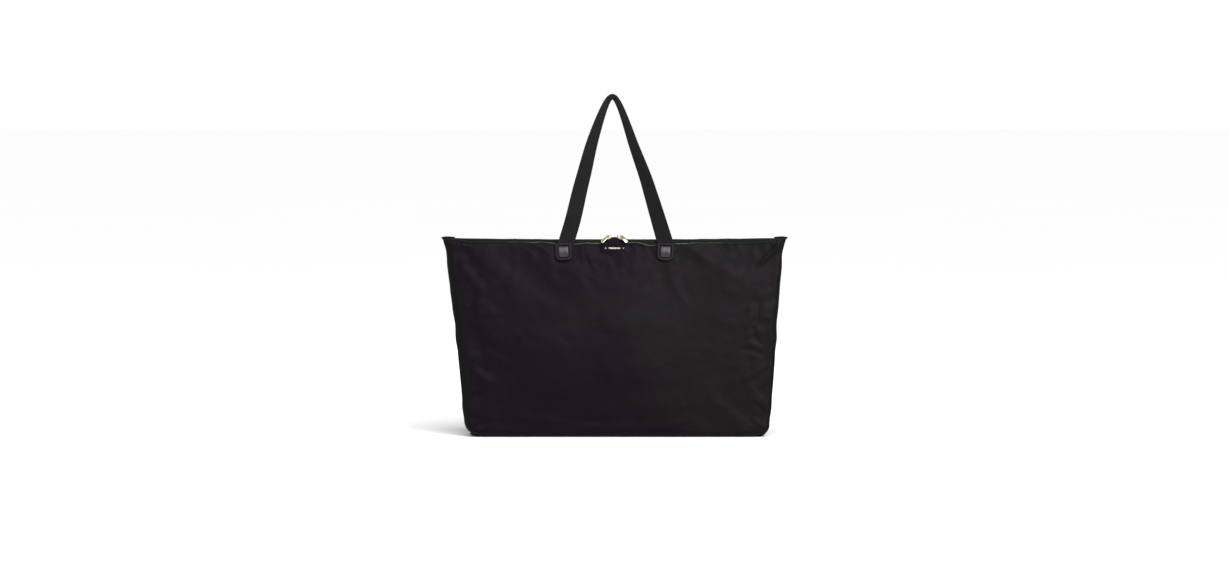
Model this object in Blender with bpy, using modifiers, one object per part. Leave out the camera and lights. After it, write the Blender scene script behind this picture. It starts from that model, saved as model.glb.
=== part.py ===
"""Foldable zip-top tote bag of black nylon, with two webbing handles and a two-way zip.

Metres, +Z up. The origin is on the floor under the middle of the base. X runs along
the zip, and the front of the bag faces -Y. Each joint is an empty on its axis, and
carries the pieces that move about it.
"""

from math import cos, hypot, pi, radians, sin, sqrt

import bmesh
import bpy
from mathutils import Matrix, Vector

# Driving dimensions
WEBBING_WIDTH = 0.0250
TOP_HALF_WIDTH = 0.2715
FOOT_HALF_WIDTH = 0.2400
ZIP_HEIGHT = 0.3090
BASE_HALF_DEPTH = 0.0785
HANDLE_APEX_HEIGHT = 0.5375
TOUCH_GAP = 0.0003

# Fabric walls
WALL_THICKNESS = 0.0012
WALL_BOTTOM = 0.0020
WALL_TOP = 0.3035
WALL_FOOT_DEPTH = 0.0815
WALL_HEAD_DEPTH = 0.0090
WALL_BULGE = 0.0120
WALL_EDGE_SHARE = 0.45
WALL_COLUMNS = 14
WALL_ROWS = 6
CREASE_HEIGHT = 0.1400
GUSSET_INSET = 0.0035
GUSSET_TOP = 0.2920
GUSSET_CLEARANCE = 0.0012
BASE_THICKNESS = 0.0015
BASE_CORNER = 0.0180
BASE_INSET = 0.0025

# Seam bindings, inside the bag
BINDING_WIDTH = 0.0090
BINDING_THICKNESS = 0.0008
BINDING_EDGE = 0.0010
BINDING_ROWS = 8
BINDING_LOW = 0.0140
BINDING_HIGH = 0.2400
BASE_BINDING_X = 0.2262
BASE_BINDING_WIDTH = 0.0078

# Zip: each half is a coil core and a tape that turns down behind its wall
COIL_HALF_LENGTH = 0.2580
COIL_INNER = 0.0010
COIL_OUTER = 0.0036
COIL_THICKNESS = 0.0018
TAPE_HALF_LENGTH = 0.2620
TAPE_THICKNESS = 0.0008
TAPE_START = 0.0040
TAPE_BEND = 0.0066
TAPE_FOOT_DEPTH = 0.0078
TAPE_FOOT_HEIGHT = 0.2950
END_TAB_LENGTH = 0.0130
END_TAB_HALF_WIDTH = 0.0060
END_TAB_THICKNESS = 0.0015
END_TAB_RISE = 0.0015

# Zip sliders and their pulls, which lie outwards along the zip
SLIDER_X = 0.0090
SLIDER_LENGTH = 0.0130
SLIDER_HALF_WIDTH = 0.0038
SLIDER_THROAT = 0.0023
SLIDER_PLATE = 0.0009
SLIDER_WEB = 0.0012
CROWN_WIRE = 0.0007
CROWN_HEIGHT = 0.0034
CROWN_HALF_SPAN = 0.0045
CROWN_SHOULDER = 0.0012
PULL_PIVOT_LIFT = 0.0014
PULL_DROOP = radians(4)
PULL_THICKNESS = 0.0012
PULL_NECK_HALF_WIDTH = 0.0028
PULL_HALF_WIDTH = 0.0042
PULL_SHOULDER = 0.0162
PULL_BAR = 0.0008
PULL_EYE_REACH = 0.0064
PULL_EYE_HALF_WIDTH = 0.0016

# Leather and metal trim
ANCHOR_X = 0.0810
ANCHOR_Z = 0.2895
ANCHOR_WIDTH = 0.0255
ANCHOR_HEIGHT = 0.0255
ANCHOR_CORNER = 0.0080
ANCHOR_TOP_CORNER = 0.0015
ANCHOR_THICKNESS = 0.0014
ANCHOR_LEAN = radians(5)
PAD_WIDTH = 0.0155
PAD_HEIGHT = 0.0175
PAD_CORNER = 0.0025
PAD_TOP_CORNER = 0.0010
PAD_THICKNESS = 0.0012
TAB_RADIUS = 0.0095
TAB_CENTRE_Z = 0.3045
TAB_SKIRT = 0.0050
TAB_THICKNESS = 0.0010
TAB_DEPTH = 0.0112
PLATE_Z = 0.2950
PLATE_WIDTH = 0.0190
PLATE_HEIGHT = 0.0030
PLATE_CORNER = 0.0008
PLATE_THICKNESS = 0.0009
STUD_X = 0.0142
STUD_RADIUS = 0.0015
STUD_THICKNESS = 0.0012
TRIM_LIFT = 0.0005

# Handles: each centreline is one branch of a hyperbola in the plane of its wall
HANDLE_SLOPE = 3.4
HANDLE_ROUNDING = 0.0138
HANDLE_FOOT_Z = 0.3048
HANDLE_FOOT_DEPTH = 0.0165
HANDLE_APEX_DEPTH = 0.0138
HANDLE_THICKNESS = 0.0016
HANDLE_STEPS = 44

# Stow pocket inside the back wall, which the folded bag goes into
POCKET_HALF_WIDTH = 0.0950
POCKET_LOW = 0.1500
POCKET_HIGH = 0.2620
POCKET_SLACK = 0.0024
POCKET_THICKNESS = 0.0008
POCKET_OFFSET = 0.0006
POCKET_TAPE_LOW = 0.2635
POCKET_TAPE_HIGH = 0.2755
POCKET_COIL_Z = 0.2695
POCKET_COIL_SIZE = 0.0016
POCKET_COIL_HALF_LENGTH = 0.0900
POCKET_COIL_OFFSET = 0.0035
POCKET_SLIDER_X = -0.0820
POCKET_SLIDER_LENGTH = 0.0090
POCKET_SLIDER_WALL = 0.0010
POCKET_PULL_WIDTH = 0.0050
POCKET_PULL_LENGTH = 0.0140
POCKET_PULL_CORNER = 0.0015
POCKET_PULL_TOP_CORNER = 0.0005
POCKET_PULL_THICKNESS = 0.0010

FRONT, BACK = -1, 1
LEFT, RIGHT = -1, 1
SIDE_NAMES = {FRONT: "front", BACK: "back"}
HAND_NAMES = {LEFT: "left", RIGHT: "right"}
FRONT_TRIM = ["centre_tab", "nameplate", "nameplate_stud_left", "nameplate_stud_right"]
POCKET_PIECES = ["stow_pocket", "pocket_zip_tape", "pocket_zip_coil"]

MATERIALS = {
    "nylon": ((0.016, 0.013, 0.017), 0.55, 0.0),
    "webbing": ((0.014, 0.014, 0.015), 0.75, 0.0),
    "leather": ((0.020, 0.018, 0.022), 0.38, 0.0),
    "gold": ((0.83, 0.66, 0.36), 0.22, 1.0),
    "zip_coil": ((0.012, 0.012, 0.013), 0.40, 0.0),
    "zip_tape": ((0.013, 0.014, 0.014), 0.80, 0.0),
    "binding": ((0.018, 0.018, 0.020), 0.85, 0.0),
}


def clear_scene():
    for old in list(bpy.data.objects):
        bpy.data.objects.remove(old)


def make_material(name):
    colour, roughness, metallic = MATERIALS[name]
    found = bpy.data.materials.new(name)
    found.use_nodes = True
    shader = found.node_tree.nodes["Principled BSDF"]
    shader.inputs["Base Color"].default_value = (*colour, 1.0)
    shader.inputs["Roughness"].default_value = roughness
    shader.inputs["Metallic"].default_value = metallic
    return found


def keep(name, data, material):
    """An object of the bag's collection, with its material."""
    made = bpy.data.objects.new(name, data)
    bag.objects.link(made)
    data.materials.append(material)
    return made


# Shape of the bag


def half_width(z):
    """Half the bag's width at height z: the sides lean out towards the zip."""
    return FOOT_HALF_WIDTH + (TOP_HALF_WIDTH - FOOT_HALF_WIDTH) * z / ZIP_HEIGHT


def wall_depth(x, z):
    """How far a wall's outer face is from the middle plane."""
    rise = (z - WALL_BOTTOM) / (WALL_TOP - WALL_BOTTOM)
    straight = WALL_FOOT_DEPTH + (WALL_HEAD_DEPTH - WALL_FOOT_DEPTH) * rise
    across = x / half_width(z)
    share = 1 - (1 - WALL_EDGE_SHARE) * across**2
    return straight + WALL_BULGE * share * sin(pi * rise)


def wall_frame(side, x, z, lift, lean=0.0):
    """Matrix of a flat piece on a wall: its own Z is the wall's outward normal."""
    step = 0.001
    slope = (wall_depth(x, z + step) - wall_depth(x, z - step)) / (2 * step)
    up = Vector((0, side * slope, 1)).normalized()
    along = Vector((-side, 0, 0))
    out = along.cross(up)
    place = Vector((x, side * wall_depth(x, z), z)) + out * lift
    turned = Matrix((along, up, out)).transposed().to_4x4()
    return Matrix.Translation(place) @ turned @ Matrix.Rotation(lean, 4, "Z")


# Builders


def sheet(name, columns, rows, point, thickness, material, flip=False, offset=-1.0):
    """A thin closed sheet: a grid whose point(u, v) is given, thickened by Solidify."""
    mesh = bpy.data.meshes.new(name)
    work = bmesh.new()
    bmesh.ops.create_grid(work, x_segments=columns, y_segments=rows, size=1.0)
    for vertex in work.verts:
        vertex.co = point(vertex.co.x, (vertex.co.y + 1) / 2)
    if flip:
        bmesh.ops.reverse_faces(work, faces=work.faces)
    work.to_mesh(mesh)
    work.free()
    mesh.shade_smooth()
    made = keep(name, mesh, material)
    solid = made.modifiers.new("Solidify", "SOLIDIFY")
    solid.thickness = thickness
    solid.offset = offset
    return made


def wall_sheet(name, side, half, low, high, inset, thickness, material, columns, rows):
    """A sheet that follows the inside of a wall, inset(u, v) from its outer face."""

    def point(u, v):
        z = low + (high - low) * v
        x = u * half(z)
        return Vector((x, side * (wall_depth(x, z) - inset(u, v)), z))

    return sheet(name, columns, rows, point, thickness, material, side == BACK)


def outline_plate(name, outlines, thickness, material, matrix):
    """A plate cut to a closed outline; any further outlines are its holes."""
    curve = bpy.data.curves.new(name, "CURVE")
    curve.dimensions = "2D"
    curve.fill_mode = "BOTH"
    curve.extrude = thickness / 2
    for outline in outlines:
        spline = curve.splines.new("POLY")
        spline.points.add(len(outline) - 1)
        for point, place in zip(spline.points, outline):
            point.co = (*place, 0, 1)
        spline.use_cyclic_u = True
    made = keep(name, curve, material)
    made.matrix_world = matrix
    return made


def box(name, low, high, material):
    """A box between two corners, with its origin at its middle."""
    low, high = Vector(low), Vector(high)
    mesh = bpy.data.meshes.new(name)
    work = bmesh.new()
    bmesh.ops.create_cube(work, size=1.0)
    bmesh.ops.scale(work, vec=high - low, verts=work.verts)
    work.to_mesh(mesh)
    work.free()
    made = keep(name, mesh, material)
    made.location = (low + high) / 2
    return made


def wire(name, points, radius, material, matrix, cyclic=False):
    """A bent wire through the given points."""
    curve = bpy.data.curves.new(name, "CURVE")
    curve.dimensions = "3D"
    curve.bevel_depth = radius
    curve.bevel_resolution = 2
    curve.use_fill_caps = not cyclic
    spline = curve.splines.new("POLY")
    spline.points.add(len(points) - 1)
    for point, place in zip(spline.points, points):
        point.co = (*place, 1)
    spline.use_cyclic_u = cyclic
    made = keep(name, curve, material)
    made.matrix_world = matrix
    return made


def arc(centre, radius, start, end, steps):
    """Points along an arc, with both ends."""
    angles = [start + (end - start) * i / steps for i in range(steps + 1)]
    return [(centre[0] + radius * cos(a), centre[1] + radius * sin(a)) for a in angles]


def rounded_rectangle(width, height, lower, upper, steps=5):
    """Outline of a rectangle about the origin, with its corner radii."""
    x, y = width / 2, height / 2
    return [
        *arc((x - upper, y - upper), upper, 0, pi / 2, steps),
        *arc((upper - x, y - upper), upper, pi / 2, pi, steps),
        *arc((lower - x, lower - y), lower, pi, 1.5 * pi, steps),
        *arc((x - lower, lower - y), lower, 1.5 * pi, 2 * pi, steps),
    ]


def along_x(x, y, z):
    """Matrix that turns a plate drawn in X and Y into a profile that runs along X."""
    turned = Matrix(((0, 0, 1), (1, 0, 0), (0, 1, 0))).to_4x4()
    return Matrix.Translation((x, y, z)) @ turned


# The bag's pieces


def make_base():
    width, depth = 2 * (FOOT_HALF_WIDTH - BASE_INSET), 2 * BASE_HALF_DEPTH
    outline = rounded_rectangle(width, depth, BASE_CORNER, BASE_CORNER)
    lifted = Matrix.Translation((0, 0, BASE_THICKNESS / 2))
    outline_plate("base_panel", [outline], BASE_THICKNESS, material["nylon"], lifted)
    low = BASE_THICKNESS + TOUCH_GAP
    reach = BASE_HALF_DEPTH - BASE_CORNER
    for hand in (LEFT, RIGHT):
        middle = hand * (BASE_BINDING_X + BASE_BINDING_WIDTH / 2)
        box(
            f"{HAND_NAMES[hand]}_base_binding",
            (middle - BASE_BINDING_WIDTH / 2, -reach, low),
            (middle + BASE_BINDING_WIDTH / 2, reach, low + BINDING_THICKNESS),
            material["binding"],
        )


def gusset_reach(z):
    """Half the depth of a gusset at height z, clear of the walls."""
    return wall_depth(half_width(z), z) - WALL_THICKNESS - GUSSET_CLEARANCE


def make_gusset(hand):
    """Side panel, wide at the base and narrow under the end of the zip, and its bindings."""

    def point(u, v):
        z = WALL_BOTTOM + (GUSSET_TOP - WALL_BOTTOM) * v
        return Vector((hand * (half_width(z) - GUSSET_INSET), u * gusset_reach(z), z))

    name = HAND_NAMES[hand]
    nylon, flip = material["nylon"], hand == LEFT
    sheet(f"{name}_gusset", 4, 10, point, WALL_THICKNESS, nylon, flip)
    inset = GUSSET_INSET + WALL_THICKNESS + TOUCH_GAP
    for side in (FRONT, BACK):

        def edge_point(u, v, side=side):
            z = BINDING_LOW + (BINDING_HIGH - BINDING_LOW) * v
            middle = gusset_reach(z) - BINDING_EDGE - BINDING_WIDTH / 2
            y = side * middle + u * BINDING_WIDTH / 2
            return Vector((hand * (half_width(z) - inset), y, z))

        binding = f"{name}_{SIDE_NAMES[side]}_seam_binding"
        tape = material["binding"]
        sheet(binding, 1, BINDING_ROWS, edge_point, BINDING_THICKNESS, tape, flip)


def make_wall(side):
    """A wall in two parts that meet at its crease, and the binding along its foot."""
    name = SIDE_NAMES[side]
    crease = CREASE_HEIGHT - TOUCH_GAP
    parts = {"lower": (WALL_BOTTOM, crease), "upper": (CREASE_HEIGHT, WALL_TOP)}
    for part, (low, high) in parts.items():
        wall_sheet(
            f"{name}_panel_{part}",
            side,
            half_width,
            low,
            high,
            lambda u, v: 0.0,
            WALL_THICKNESS,
            material["nylon"],
            WALL_COLUMNS,
            WALL_ROWS,
        )
    wall_sheet(
        f"{name}_base_binding",
        side,
        lambda z: BASE_BINDING_X - BASE_CORNER,
        WALL_BOTTOM + TOUCH_GAP,
        WALL_BOTTOM + BINDING_WIDTH,
        lambda u, v: WALL_THICKNESS + TOUCH_GAP,
        BINDING_THICKNESS,
        material["binding"],
        WALL_COLUMNS,
        1,
    )


def make_zip_half(side):
    """Coil core and tape of one side. The tape leaves level and turns down inside."""
    name = SIDE_NAMES[side]
    inner, outer = side * COIL_INNER, side * COIL_OUTER
    box(
        f"{name}_zip_coil",
        (-COIL_HALF_LENGTH, min(inner, outer), ZIP_HEIGHT - COIL_THICKNESS / 2),
        (COIL_HALF_LENGTH, max(inner, outer), ZIP_HEIGHT + COIL_THICKNESS / 2),
        material["zip_coil"],
    )

    def point(u, v):
        if v > 0.75:
            y, z = TAPE_START, ZIP_HEIGHT
        elif v > 0.25:
            y, z = TAPE_BEND, ZIP_HEIGHT
        else:
            y, z = TAPE_FOOT_DEPTH, TAPE_FOOT_HEIGHT
        return Vector((u * TAPE_HALF_LENGTH, side * y, z))

    tape = f"{name}_zip_tape"
    sheet(tape, 1, 2, point, TAPE_THICKNESS, material["zip_tape"], side == BACK, 0.0)


def make_end_tab(hand):
    """The folded end of the zip, which stands out past the bag's corner."""
    inner = TAPE_HALF_LENGTH + 2 * TOUCH_GAP
    tip = inner + END_TAB_LENGTH
    low = ZIP_HEIGHT - END_TAB_THICKNESS / 2
    outline = [
        (hand * inner, low),
        (hand * tip, low + END_TAB_RISE),
        (hand * tip, low + END_TAB_RISE + END_TAB_THICKNESS),
        (hand * inner, low + END_TAB_THICKNESS),
    ]
    outline_plate(
        f"zip_end_tab_{HAND_NAMES[hand]}",
        [outline],
        2 * END_TAB_HALF_WIDTH,
        material["zip_tape"],
        Matrix.Rotation(pi / 2, 4, "X"),
    )


def make_slider(hand):
    """Slider body, the crown on top of it and the pull in the crown."""
    name = HAND_NAMES[hand]
    x = hand * SLIDER_X
    throat, plate = SLIDER_THROAT, SLIDER_THROAT + SLIDER_PLATE
    side, web = SLIDER_HALF_WIDTH, SLIDER_WEB / 2
    section = [
        (-side, -plate),
        (side, -plate),
        (side, -throat),
        (web, -throat),
        (web, throat),
        (side, throat),
        (side, plate),
        (-side, plate),
        (-side, throat),
        (-web, throat),
        (-web, -throat),
        (-side, -throat),
    ]
    matrix = along_x(x, 0, ZIP_HEIGHT)
    body = f"slider_{name}_body"
    outline_plate(body, [section], SLIDER_LENGTH, material["gold"], matrix)

    foot = plate + TOUCH_GAP
    top = plate + CROWN_HEIGHT
    shoulder = CROWN_HALF_SPAN - CROWN_SHOULDER
    arch = [
        (-CROWN_HALF_SPAN, 0, foot),
        (-CROWN_HALF_SPAN, 0, top - CROWN_SHOULDER),
        (-shoulder, 0, top),
        (shoulder, 0, top),
        (CROWN_HALF_SPAN, 0, top - CROWN_SHOULDER),
        (CROWN_HALF_SPAN, 0, foot),
    ]
    centre = Matrix.Translation((x, 0, ZIP_HEIGHT))
    wire(f"slider_{name}_crown", arch, CROWN_WIRE, material["gold"], centre)
    make_pull(hand)


def pull_pivot(hand):
    """Middle of the bar that the pull turns on, inside the crown."""
    plate_top = ZIP_HEIGHT + SLIDER_THROAT + SLIDER_PLATE
    return Vector((hand * SLIDER_X, 0, plate_top + PULL_PIVOT_LIFT))


def make_pull(hand):
    """Flared pull that hangs on the crown by the bar at its narrow end."""
    outer = [
        (-PULL_BAR, -PULL_NECK_HALF_WIDTH),
        (PULL_EYE_REACH, -PULL_NECK_HALF_WIDTH),
        (PULL_SHOULDER, -PULL_HALF_WIDTH),
        *arc((PULL_SHOULDER, 0), PULL_HALF_WIDTH, -pi / 3, pi / 3, 6),
        (PULL_SHOULDER, PULL_HALF_WIDTH),
        (PULL_EYE_REACH, PULL_NECK_HALF_WIDTH),
        (-PULL_BAR, PULL_NECK_HALF_WIDTH),
    ]
    eye = [
        (PULL_BAR, -PULL_EYE_HALF_WIDTH),
        (PULL_EYE_REACH, -PULL_EYE_HALF_WIDTH),
        (PULL_EYE_REACH, PULL_EYE_HALF_WIDTH),
        (PULL_BAR, PULL_EYE_HALF_WIDTH),
    ]
    outlines = [[(hand * px, py) for px, py in outline] for outline in (outer, eye)]
    turned = Matrix.Rotation(hand * PULL_DROOP, 4, "Y")
    lying = Matrix.Translation(pull_pivot(hand)) @ turned
    pull = f"pull_{HAND_NAMES[hand]}"
    outline_plate(pull, outlines, PULL_THICKNESS, material["gold"], lying)


def make_anchor(side, hand):
    """Leather patch where a handle is sewn to its wall, with the raised pad on it."""
    name = f"{SIDE_NAMES[side]}_{HAND_NAMES[hand]}"
    x = hand * ANCHOR_X
    lean = side * hand * ANCHOR_LEAN
    corners = ANCHOR_CORNER, ANCHOR_TOP_CORNER
    patch = rounded_rectangle(ANCHOR_WIDTH, ANCHOR_HEIGHT, *corners)
    lift = TRIM_LIFT + ANCHOR_THICKNESS / 2
    outline_plate(
        f"{name}_anchor",
        [patch],
        ANCHOR_THICKNESS,
        material["leather"],
        wall_frame(side, x, ANCHOR_Z, lift, lean),
    )
    pad = rounded_rectangle(PAD_WIDTH, PAD_HEIGHT, PAD_CORNER, PAD_TOP_CORNER)
    lift += (ANCHOR_THICKNESS + PAD_THICKNESS) / 2 + TOUCH_GAP
    outline_plate(
        f"{name}_anchor_pad",
        [pad],
        PAD_THICKNESS,
        material["leather"],
        wall_frame(side, x, ANCHOR_Z, lift, lean),
    )


def make_front_trim():
    """Half-round tab in front of the sliders, blank nameplate and its two studs."""
    tab = [
        (-TAB_RADIUS, -TAB_SKIRT),
        (TAB_RADIUS, -TAB_SKIRT),
        *arc((0, 0), TAB_RADIUS, 0, pi, 12),
    ]
    upright = Matrix.Rotation(pi / 2, 4, "X")
    place = Matrix.Translation((0, -TAB_DEPTH - TAB_THICKNESS / 2, TAB_CENTRE_Z))
    outline_plate("centre_tab", [tab], TAB_THICKNESS, material["leather"], place @ upright)
    plate = rounded_rectangle(PLATE_WIDTH, PLATE_HEIGHT, PLATE_CORNER, PLATE_CORNER, 3)
    lift = TRIM_LIFT + PLATE_THICKNESS / 2
    matrix = wall_frame(FRONT, 0, PLATE_Z, lift)
    outline_plate("nameplate", [plate], PLATE_THICKNESS, material["gold"], matrix)
    disc = arc((0, 0), STUD_RADIUS, 0, 2 * pi * 15 / 16, 15)
    for hand in (LEFT, RIGHT):
        lift = TRIM_LIFT + STUD_THICKNESS / 2
        matrix = wall_frame(FRONT, hand * STUD_X, PLATE_Z, lift)
        stud = f"nameplate_stud_{HAND_NAMES[hand]}"
        outline_plate(stud, [disc], STUD_THICKNESS, material["gold"], matrix)


def handle_half_span(z):
    """How far a handle's centreline is from the middle at height z."""
    reach = (HANDLE_APEX_HEIGHT - z) / HANDLE_SLOPE + HANDLE_ROUNDING
    return sqrt(max(reach**2 - HANDLE_ROUNDING**2, 0.0))


def handle_centreline():
    """Even steps along the centreline from the left foot to the right foot."""
    foot = handle_half_span(HANDLE_FOOT_Z)
    fine = 400
    points = []
    for i in range(fine + 1):
        x = foot * (2 * i / fine - 1)
        drop = HANDLE_SLOPE * (hypot(x, HANDLE_ROUNDING) - HANDLE_ROUNDING)
        points.append(Vector((x, 0, HANDLE_APEX_HEIGHT - drop)))
    lengths = [0.0]
    for a, b in zip(points, points[1:]):
        lengths.append(lengths[-1] + (b - a).length)
    even = []
    for step in range(HANDLE_STEPS + 1):
        wanted = lengths[-1] * step / HANDLE_STEPS
        i = next(k for k in range(fine) if lengths[k + 1] >= wanted - 1e-9)
        part = (wanted - lengths[i]) / (lengths[i + 1] - lengths[i])
        even.append(points[i].lerp(points[i + 1], part))
    return even


def make_handle(side):
    """Webbing that lies flat on the wall at its feet and edge-on at the top."""
    path = handle_centreline()

    def point(u, v):
        i = round(v * HANDLE_STEPS)
        before, after = path[max(i - 1, 0)], path[min(i + 1, HANDLE_STEPS)]
        along = (after - before).normalized()
        inward = Vector((along.z, 0, -along.x))
        climb = 1 - abs(2 * v - 1)
        twist = pi / 2 * climb
        across = inward * cos(twist) + Vector((0, 1, 0)) * sin(twist)
        depth = HANDLE_FOOT_DEPTH + (HANDLE_APEX_DEPTH - HANDLE_FOOT_DEPTH) * climb
        centre = Vector((path[i].x, side * depth, path[i].z))
        return centre + across * u * WEBBING_WIDTH / 2

    name = f"{SIDE_NAMES[side]}_handle_strap"
    webbing = material["webbing"]
    sheet(name, 1, HANDLE_STEPS, point, HANDLE_THICKNESS, webbing, offset=0.0)


def pocket_coil_depth():
    return wall_depth(0, POCKET_COIL_Z) - WALL_THICKNESS - POCKET_COIL_OFFSET


def pocket_pull_depth():
    """The pull hangs just clear of the slider's face."""
    face = POCKET_COIL_SIZE / 2 + TOUCH_GAP + POCKET_SLIDER_WALL
    return pocket_coil_depth() - face - 2 * TOUCH_GAP - POCKET_PULL_THICKNESS / 2


def make_pocket():
    """Zipped pocket inside the back wall, with its slider and hanging pull."""

    def slack(u, v):
        loose = (1 - u**4) * (1 - (2 * v - 1) ** 4)
        return WALL_THICKNESS + POCKET_OFFSET + POCKET_SLACK * loose

    wall_sheet(
        "stow_pocket",
        BACK,
        lambda z: POCKET_HALF_WIDTH,
        POCKET_LOW,
        POCKET_HIGH,
        slack,
        POCKET_THICKNESS,
        material["nylon"],
        8,
        8,
    )
    wall_sheet(
        "pocket_zip_tape",
        BACK,
        lambda z: POCKET_HALF_WIDTH,
        POCKET_TAPE_LOW,
        POCKET_TAPE_HIGH,
        lambda u, v: WALL_THICKNESS + POCKET_OFFSET,
        POCKET_THICKNESS,
        material["zip_tape"],
        8,
        1,
    )
    coil_y = pocket_coil_depth()
    half = POCKET_COIL_SIZE / 2
    box(
        "pocket_zip_coil",
        (-POCKET_COIL_HALF_LENGTH, coil_y - half, POCKET_COIL_Z - half),
        (POCKET_COIL_HALF_LENGTH, coil_y + half, POCKET_COIL_Z + half),
        material["zip_coil"],
    )
    gap = half + TOUCH_GAP
    shell = gap + POCKET_SLIDER_WALL
    channel = [
        (-shell, -shell),
        (half, -shell),
        (half, -gap),
        (-gap, -gap),
        (-gap, gap),
        (half, gap),
        (half, shell),
        (-shell, shell),
    ]
    matrix = along_x(POCKET_SLIDER_X, coil_y, POCKET_COIL_Z)
    body = "pocket_slider_body"
    outline_plate(body, [channel], POCKET_SLIDER_LENGTH, material["gold"], matrix)
    corners = POCKET_PULL_CORNER, POCKET_PULL_TOP_CORNER
    tag = rounded_rectangle(POCKET_PULL_WIDTH, POCKET_PULL_LENGTH, *corners, 3)
    tag = [(x, y - POCKET_PULL_LENGTH / 2) for x, y in tag]
    hinge = (POCKET_SLIDER_X, pocket_pull_depth(), POCKET_COIL_Z)
    outline_plate(
        "pocket_pull",
        [tag],
        POCKET_PULL_THICKNESS,
        material["gold"],
        Matrix.Translation(hinge) @ Matrix.Rotation(pi / 2, 4, "X"),
    )


# Joints


def hang(child, parent):
    """Parent without moving: an empty's location here is its place in the world."""
    child.parent = parent
    child.matrix_parent_inverse = Matrix.Translation(-parent.location)


def joint(name, place, parent, pieces):
    """An empty on a joint's axis, with the pieces that move about it."""
    empty = bpy.data.objects.new(name, None)
    empty.empty_display_size = WEBBING_WIDTH
    empty.location = place
    bag.objects.link(empty)
    if parent:
        hang(empty, parent)
    for piece in pieces:
        hang(bag.objects[piece], empty)
    return empty


def make_wall_joints(side):
    """A wall folds in about the zip, its mouth opens at the crease, its handle swings."""
    name = SIDE_NAMES[side]
    lower = [f"{name}_panel_lower", f"{name}_base_binding"]
    fold = joint(f"fold_{name}", (0, 0, ZIP_HEIGHT), None, lower)
    upper = [f"{name}_panel_upper", f"{name}_zip_coil", f"{name}_zip_tape"]
    for hand_name in HAND_NAMES.values():
        anchor = f"{name}_{hand_name}_anchor"
        upper += [anchor, f"{anchor}_pad"]
    upper += FRONT_TRIM if side == FRONT else POCKET_PIECES
    crease = (0, side * wall_depth(0, CREASE_HEIGHT), CREASE_HEIGHT)
    mouth = joint(f"mouth_{name}", crease, fold, upper)
    foot = (0, side * HANDLE_FOOT_DEPTH, HANDLE_FOOT_Z)
    joint(f"handle_{name}", foot, mouth, [f"{name}_handle_strap"])
    return mouth


def make_slider_joints(hand):
    name = HAND_NAMES[hand]
    place = Vector((hand * SLIDER_X, 0, ZIP_HEIGHT))
    body = [f"slider_{name}_body", f"slider_{name}_crown"]
    slide = joint(f"zip_{name}", place, None, body)
    joint(f"pull_{name}_flip", pull_pivot(hand), slide, [f"pull_{name}"])


def make_pocket_joints(back_mouth):
    slide_place = (POCKET_SLIDER_X, pocket_coil_depth(), POCKET_COIL_Z)
    slide = joint("pocket_zip", slide_place, back_mouth, ["pocket_slider_body"])
    pull_place = (POCKET_SLIDER_X, pocket_pull_depth(), POCKET_COIL_Z)
    joint("pocket_pull_swing", pull_place, slide, ["pocket_pull"])


clear_scene()
bag = bpy.data.collections.new("foldable_tote_bag")
bpy.context.scene.collection.children.link(bag)
material = {name: make_material(name) for name in MATERIALS}

make_base()
for hand in (LEFT, RIGHT):
    make_gusset(hand)
    make_end_tab(hand)
    make_slider(hand)
for side in (FRONT, BACK):
    make_wall(side)
    make_zip_half(side)
    make_handle(side)
    for hand in (LEFT, RIGHT):
        make_anchor(side, hand)
make_front_trim()
make_pocket()

make_wall_joints(FRONT)
make_pocket_joints(make_wall_joints(BACK))
for hand in (LEFT, RIGHT):
    make_slider_joints(hand)
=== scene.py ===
"""The looks of a foldable tote bag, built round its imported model, which is the fixed frame.

Units are metres. X runs along the zip, the front of the bag faces -Y and Z is up from the floor.
"""

import math

import bpy
import numpy as np
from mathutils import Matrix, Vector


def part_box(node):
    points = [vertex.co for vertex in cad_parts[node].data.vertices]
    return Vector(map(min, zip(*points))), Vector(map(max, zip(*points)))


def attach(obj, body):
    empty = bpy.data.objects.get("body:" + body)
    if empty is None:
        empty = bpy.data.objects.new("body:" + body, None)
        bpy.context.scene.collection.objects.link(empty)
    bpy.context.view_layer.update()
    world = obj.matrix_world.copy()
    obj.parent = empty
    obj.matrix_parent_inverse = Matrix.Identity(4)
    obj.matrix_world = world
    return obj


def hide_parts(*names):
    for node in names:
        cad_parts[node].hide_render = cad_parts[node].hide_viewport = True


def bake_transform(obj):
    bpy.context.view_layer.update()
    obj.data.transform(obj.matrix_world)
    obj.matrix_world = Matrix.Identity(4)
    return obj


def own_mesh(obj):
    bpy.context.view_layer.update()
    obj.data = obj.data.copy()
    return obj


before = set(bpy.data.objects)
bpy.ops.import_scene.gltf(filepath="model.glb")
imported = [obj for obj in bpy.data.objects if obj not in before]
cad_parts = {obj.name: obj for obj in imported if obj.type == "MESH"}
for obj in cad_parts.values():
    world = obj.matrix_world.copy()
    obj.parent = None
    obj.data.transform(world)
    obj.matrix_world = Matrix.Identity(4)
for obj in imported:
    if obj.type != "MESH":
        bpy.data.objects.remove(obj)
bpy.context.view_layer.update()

FRONT, BACK = -1, 1
LEFT, RIGHT = -1, 1
SIDES = ((FRONT, "front"), (BACK, "back"))
HALVES = ((LEFT, "left"), (RIGHT, "right"))

# ---- Dimensions, from the frame where it holds them ---------------------------------------------

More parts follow.
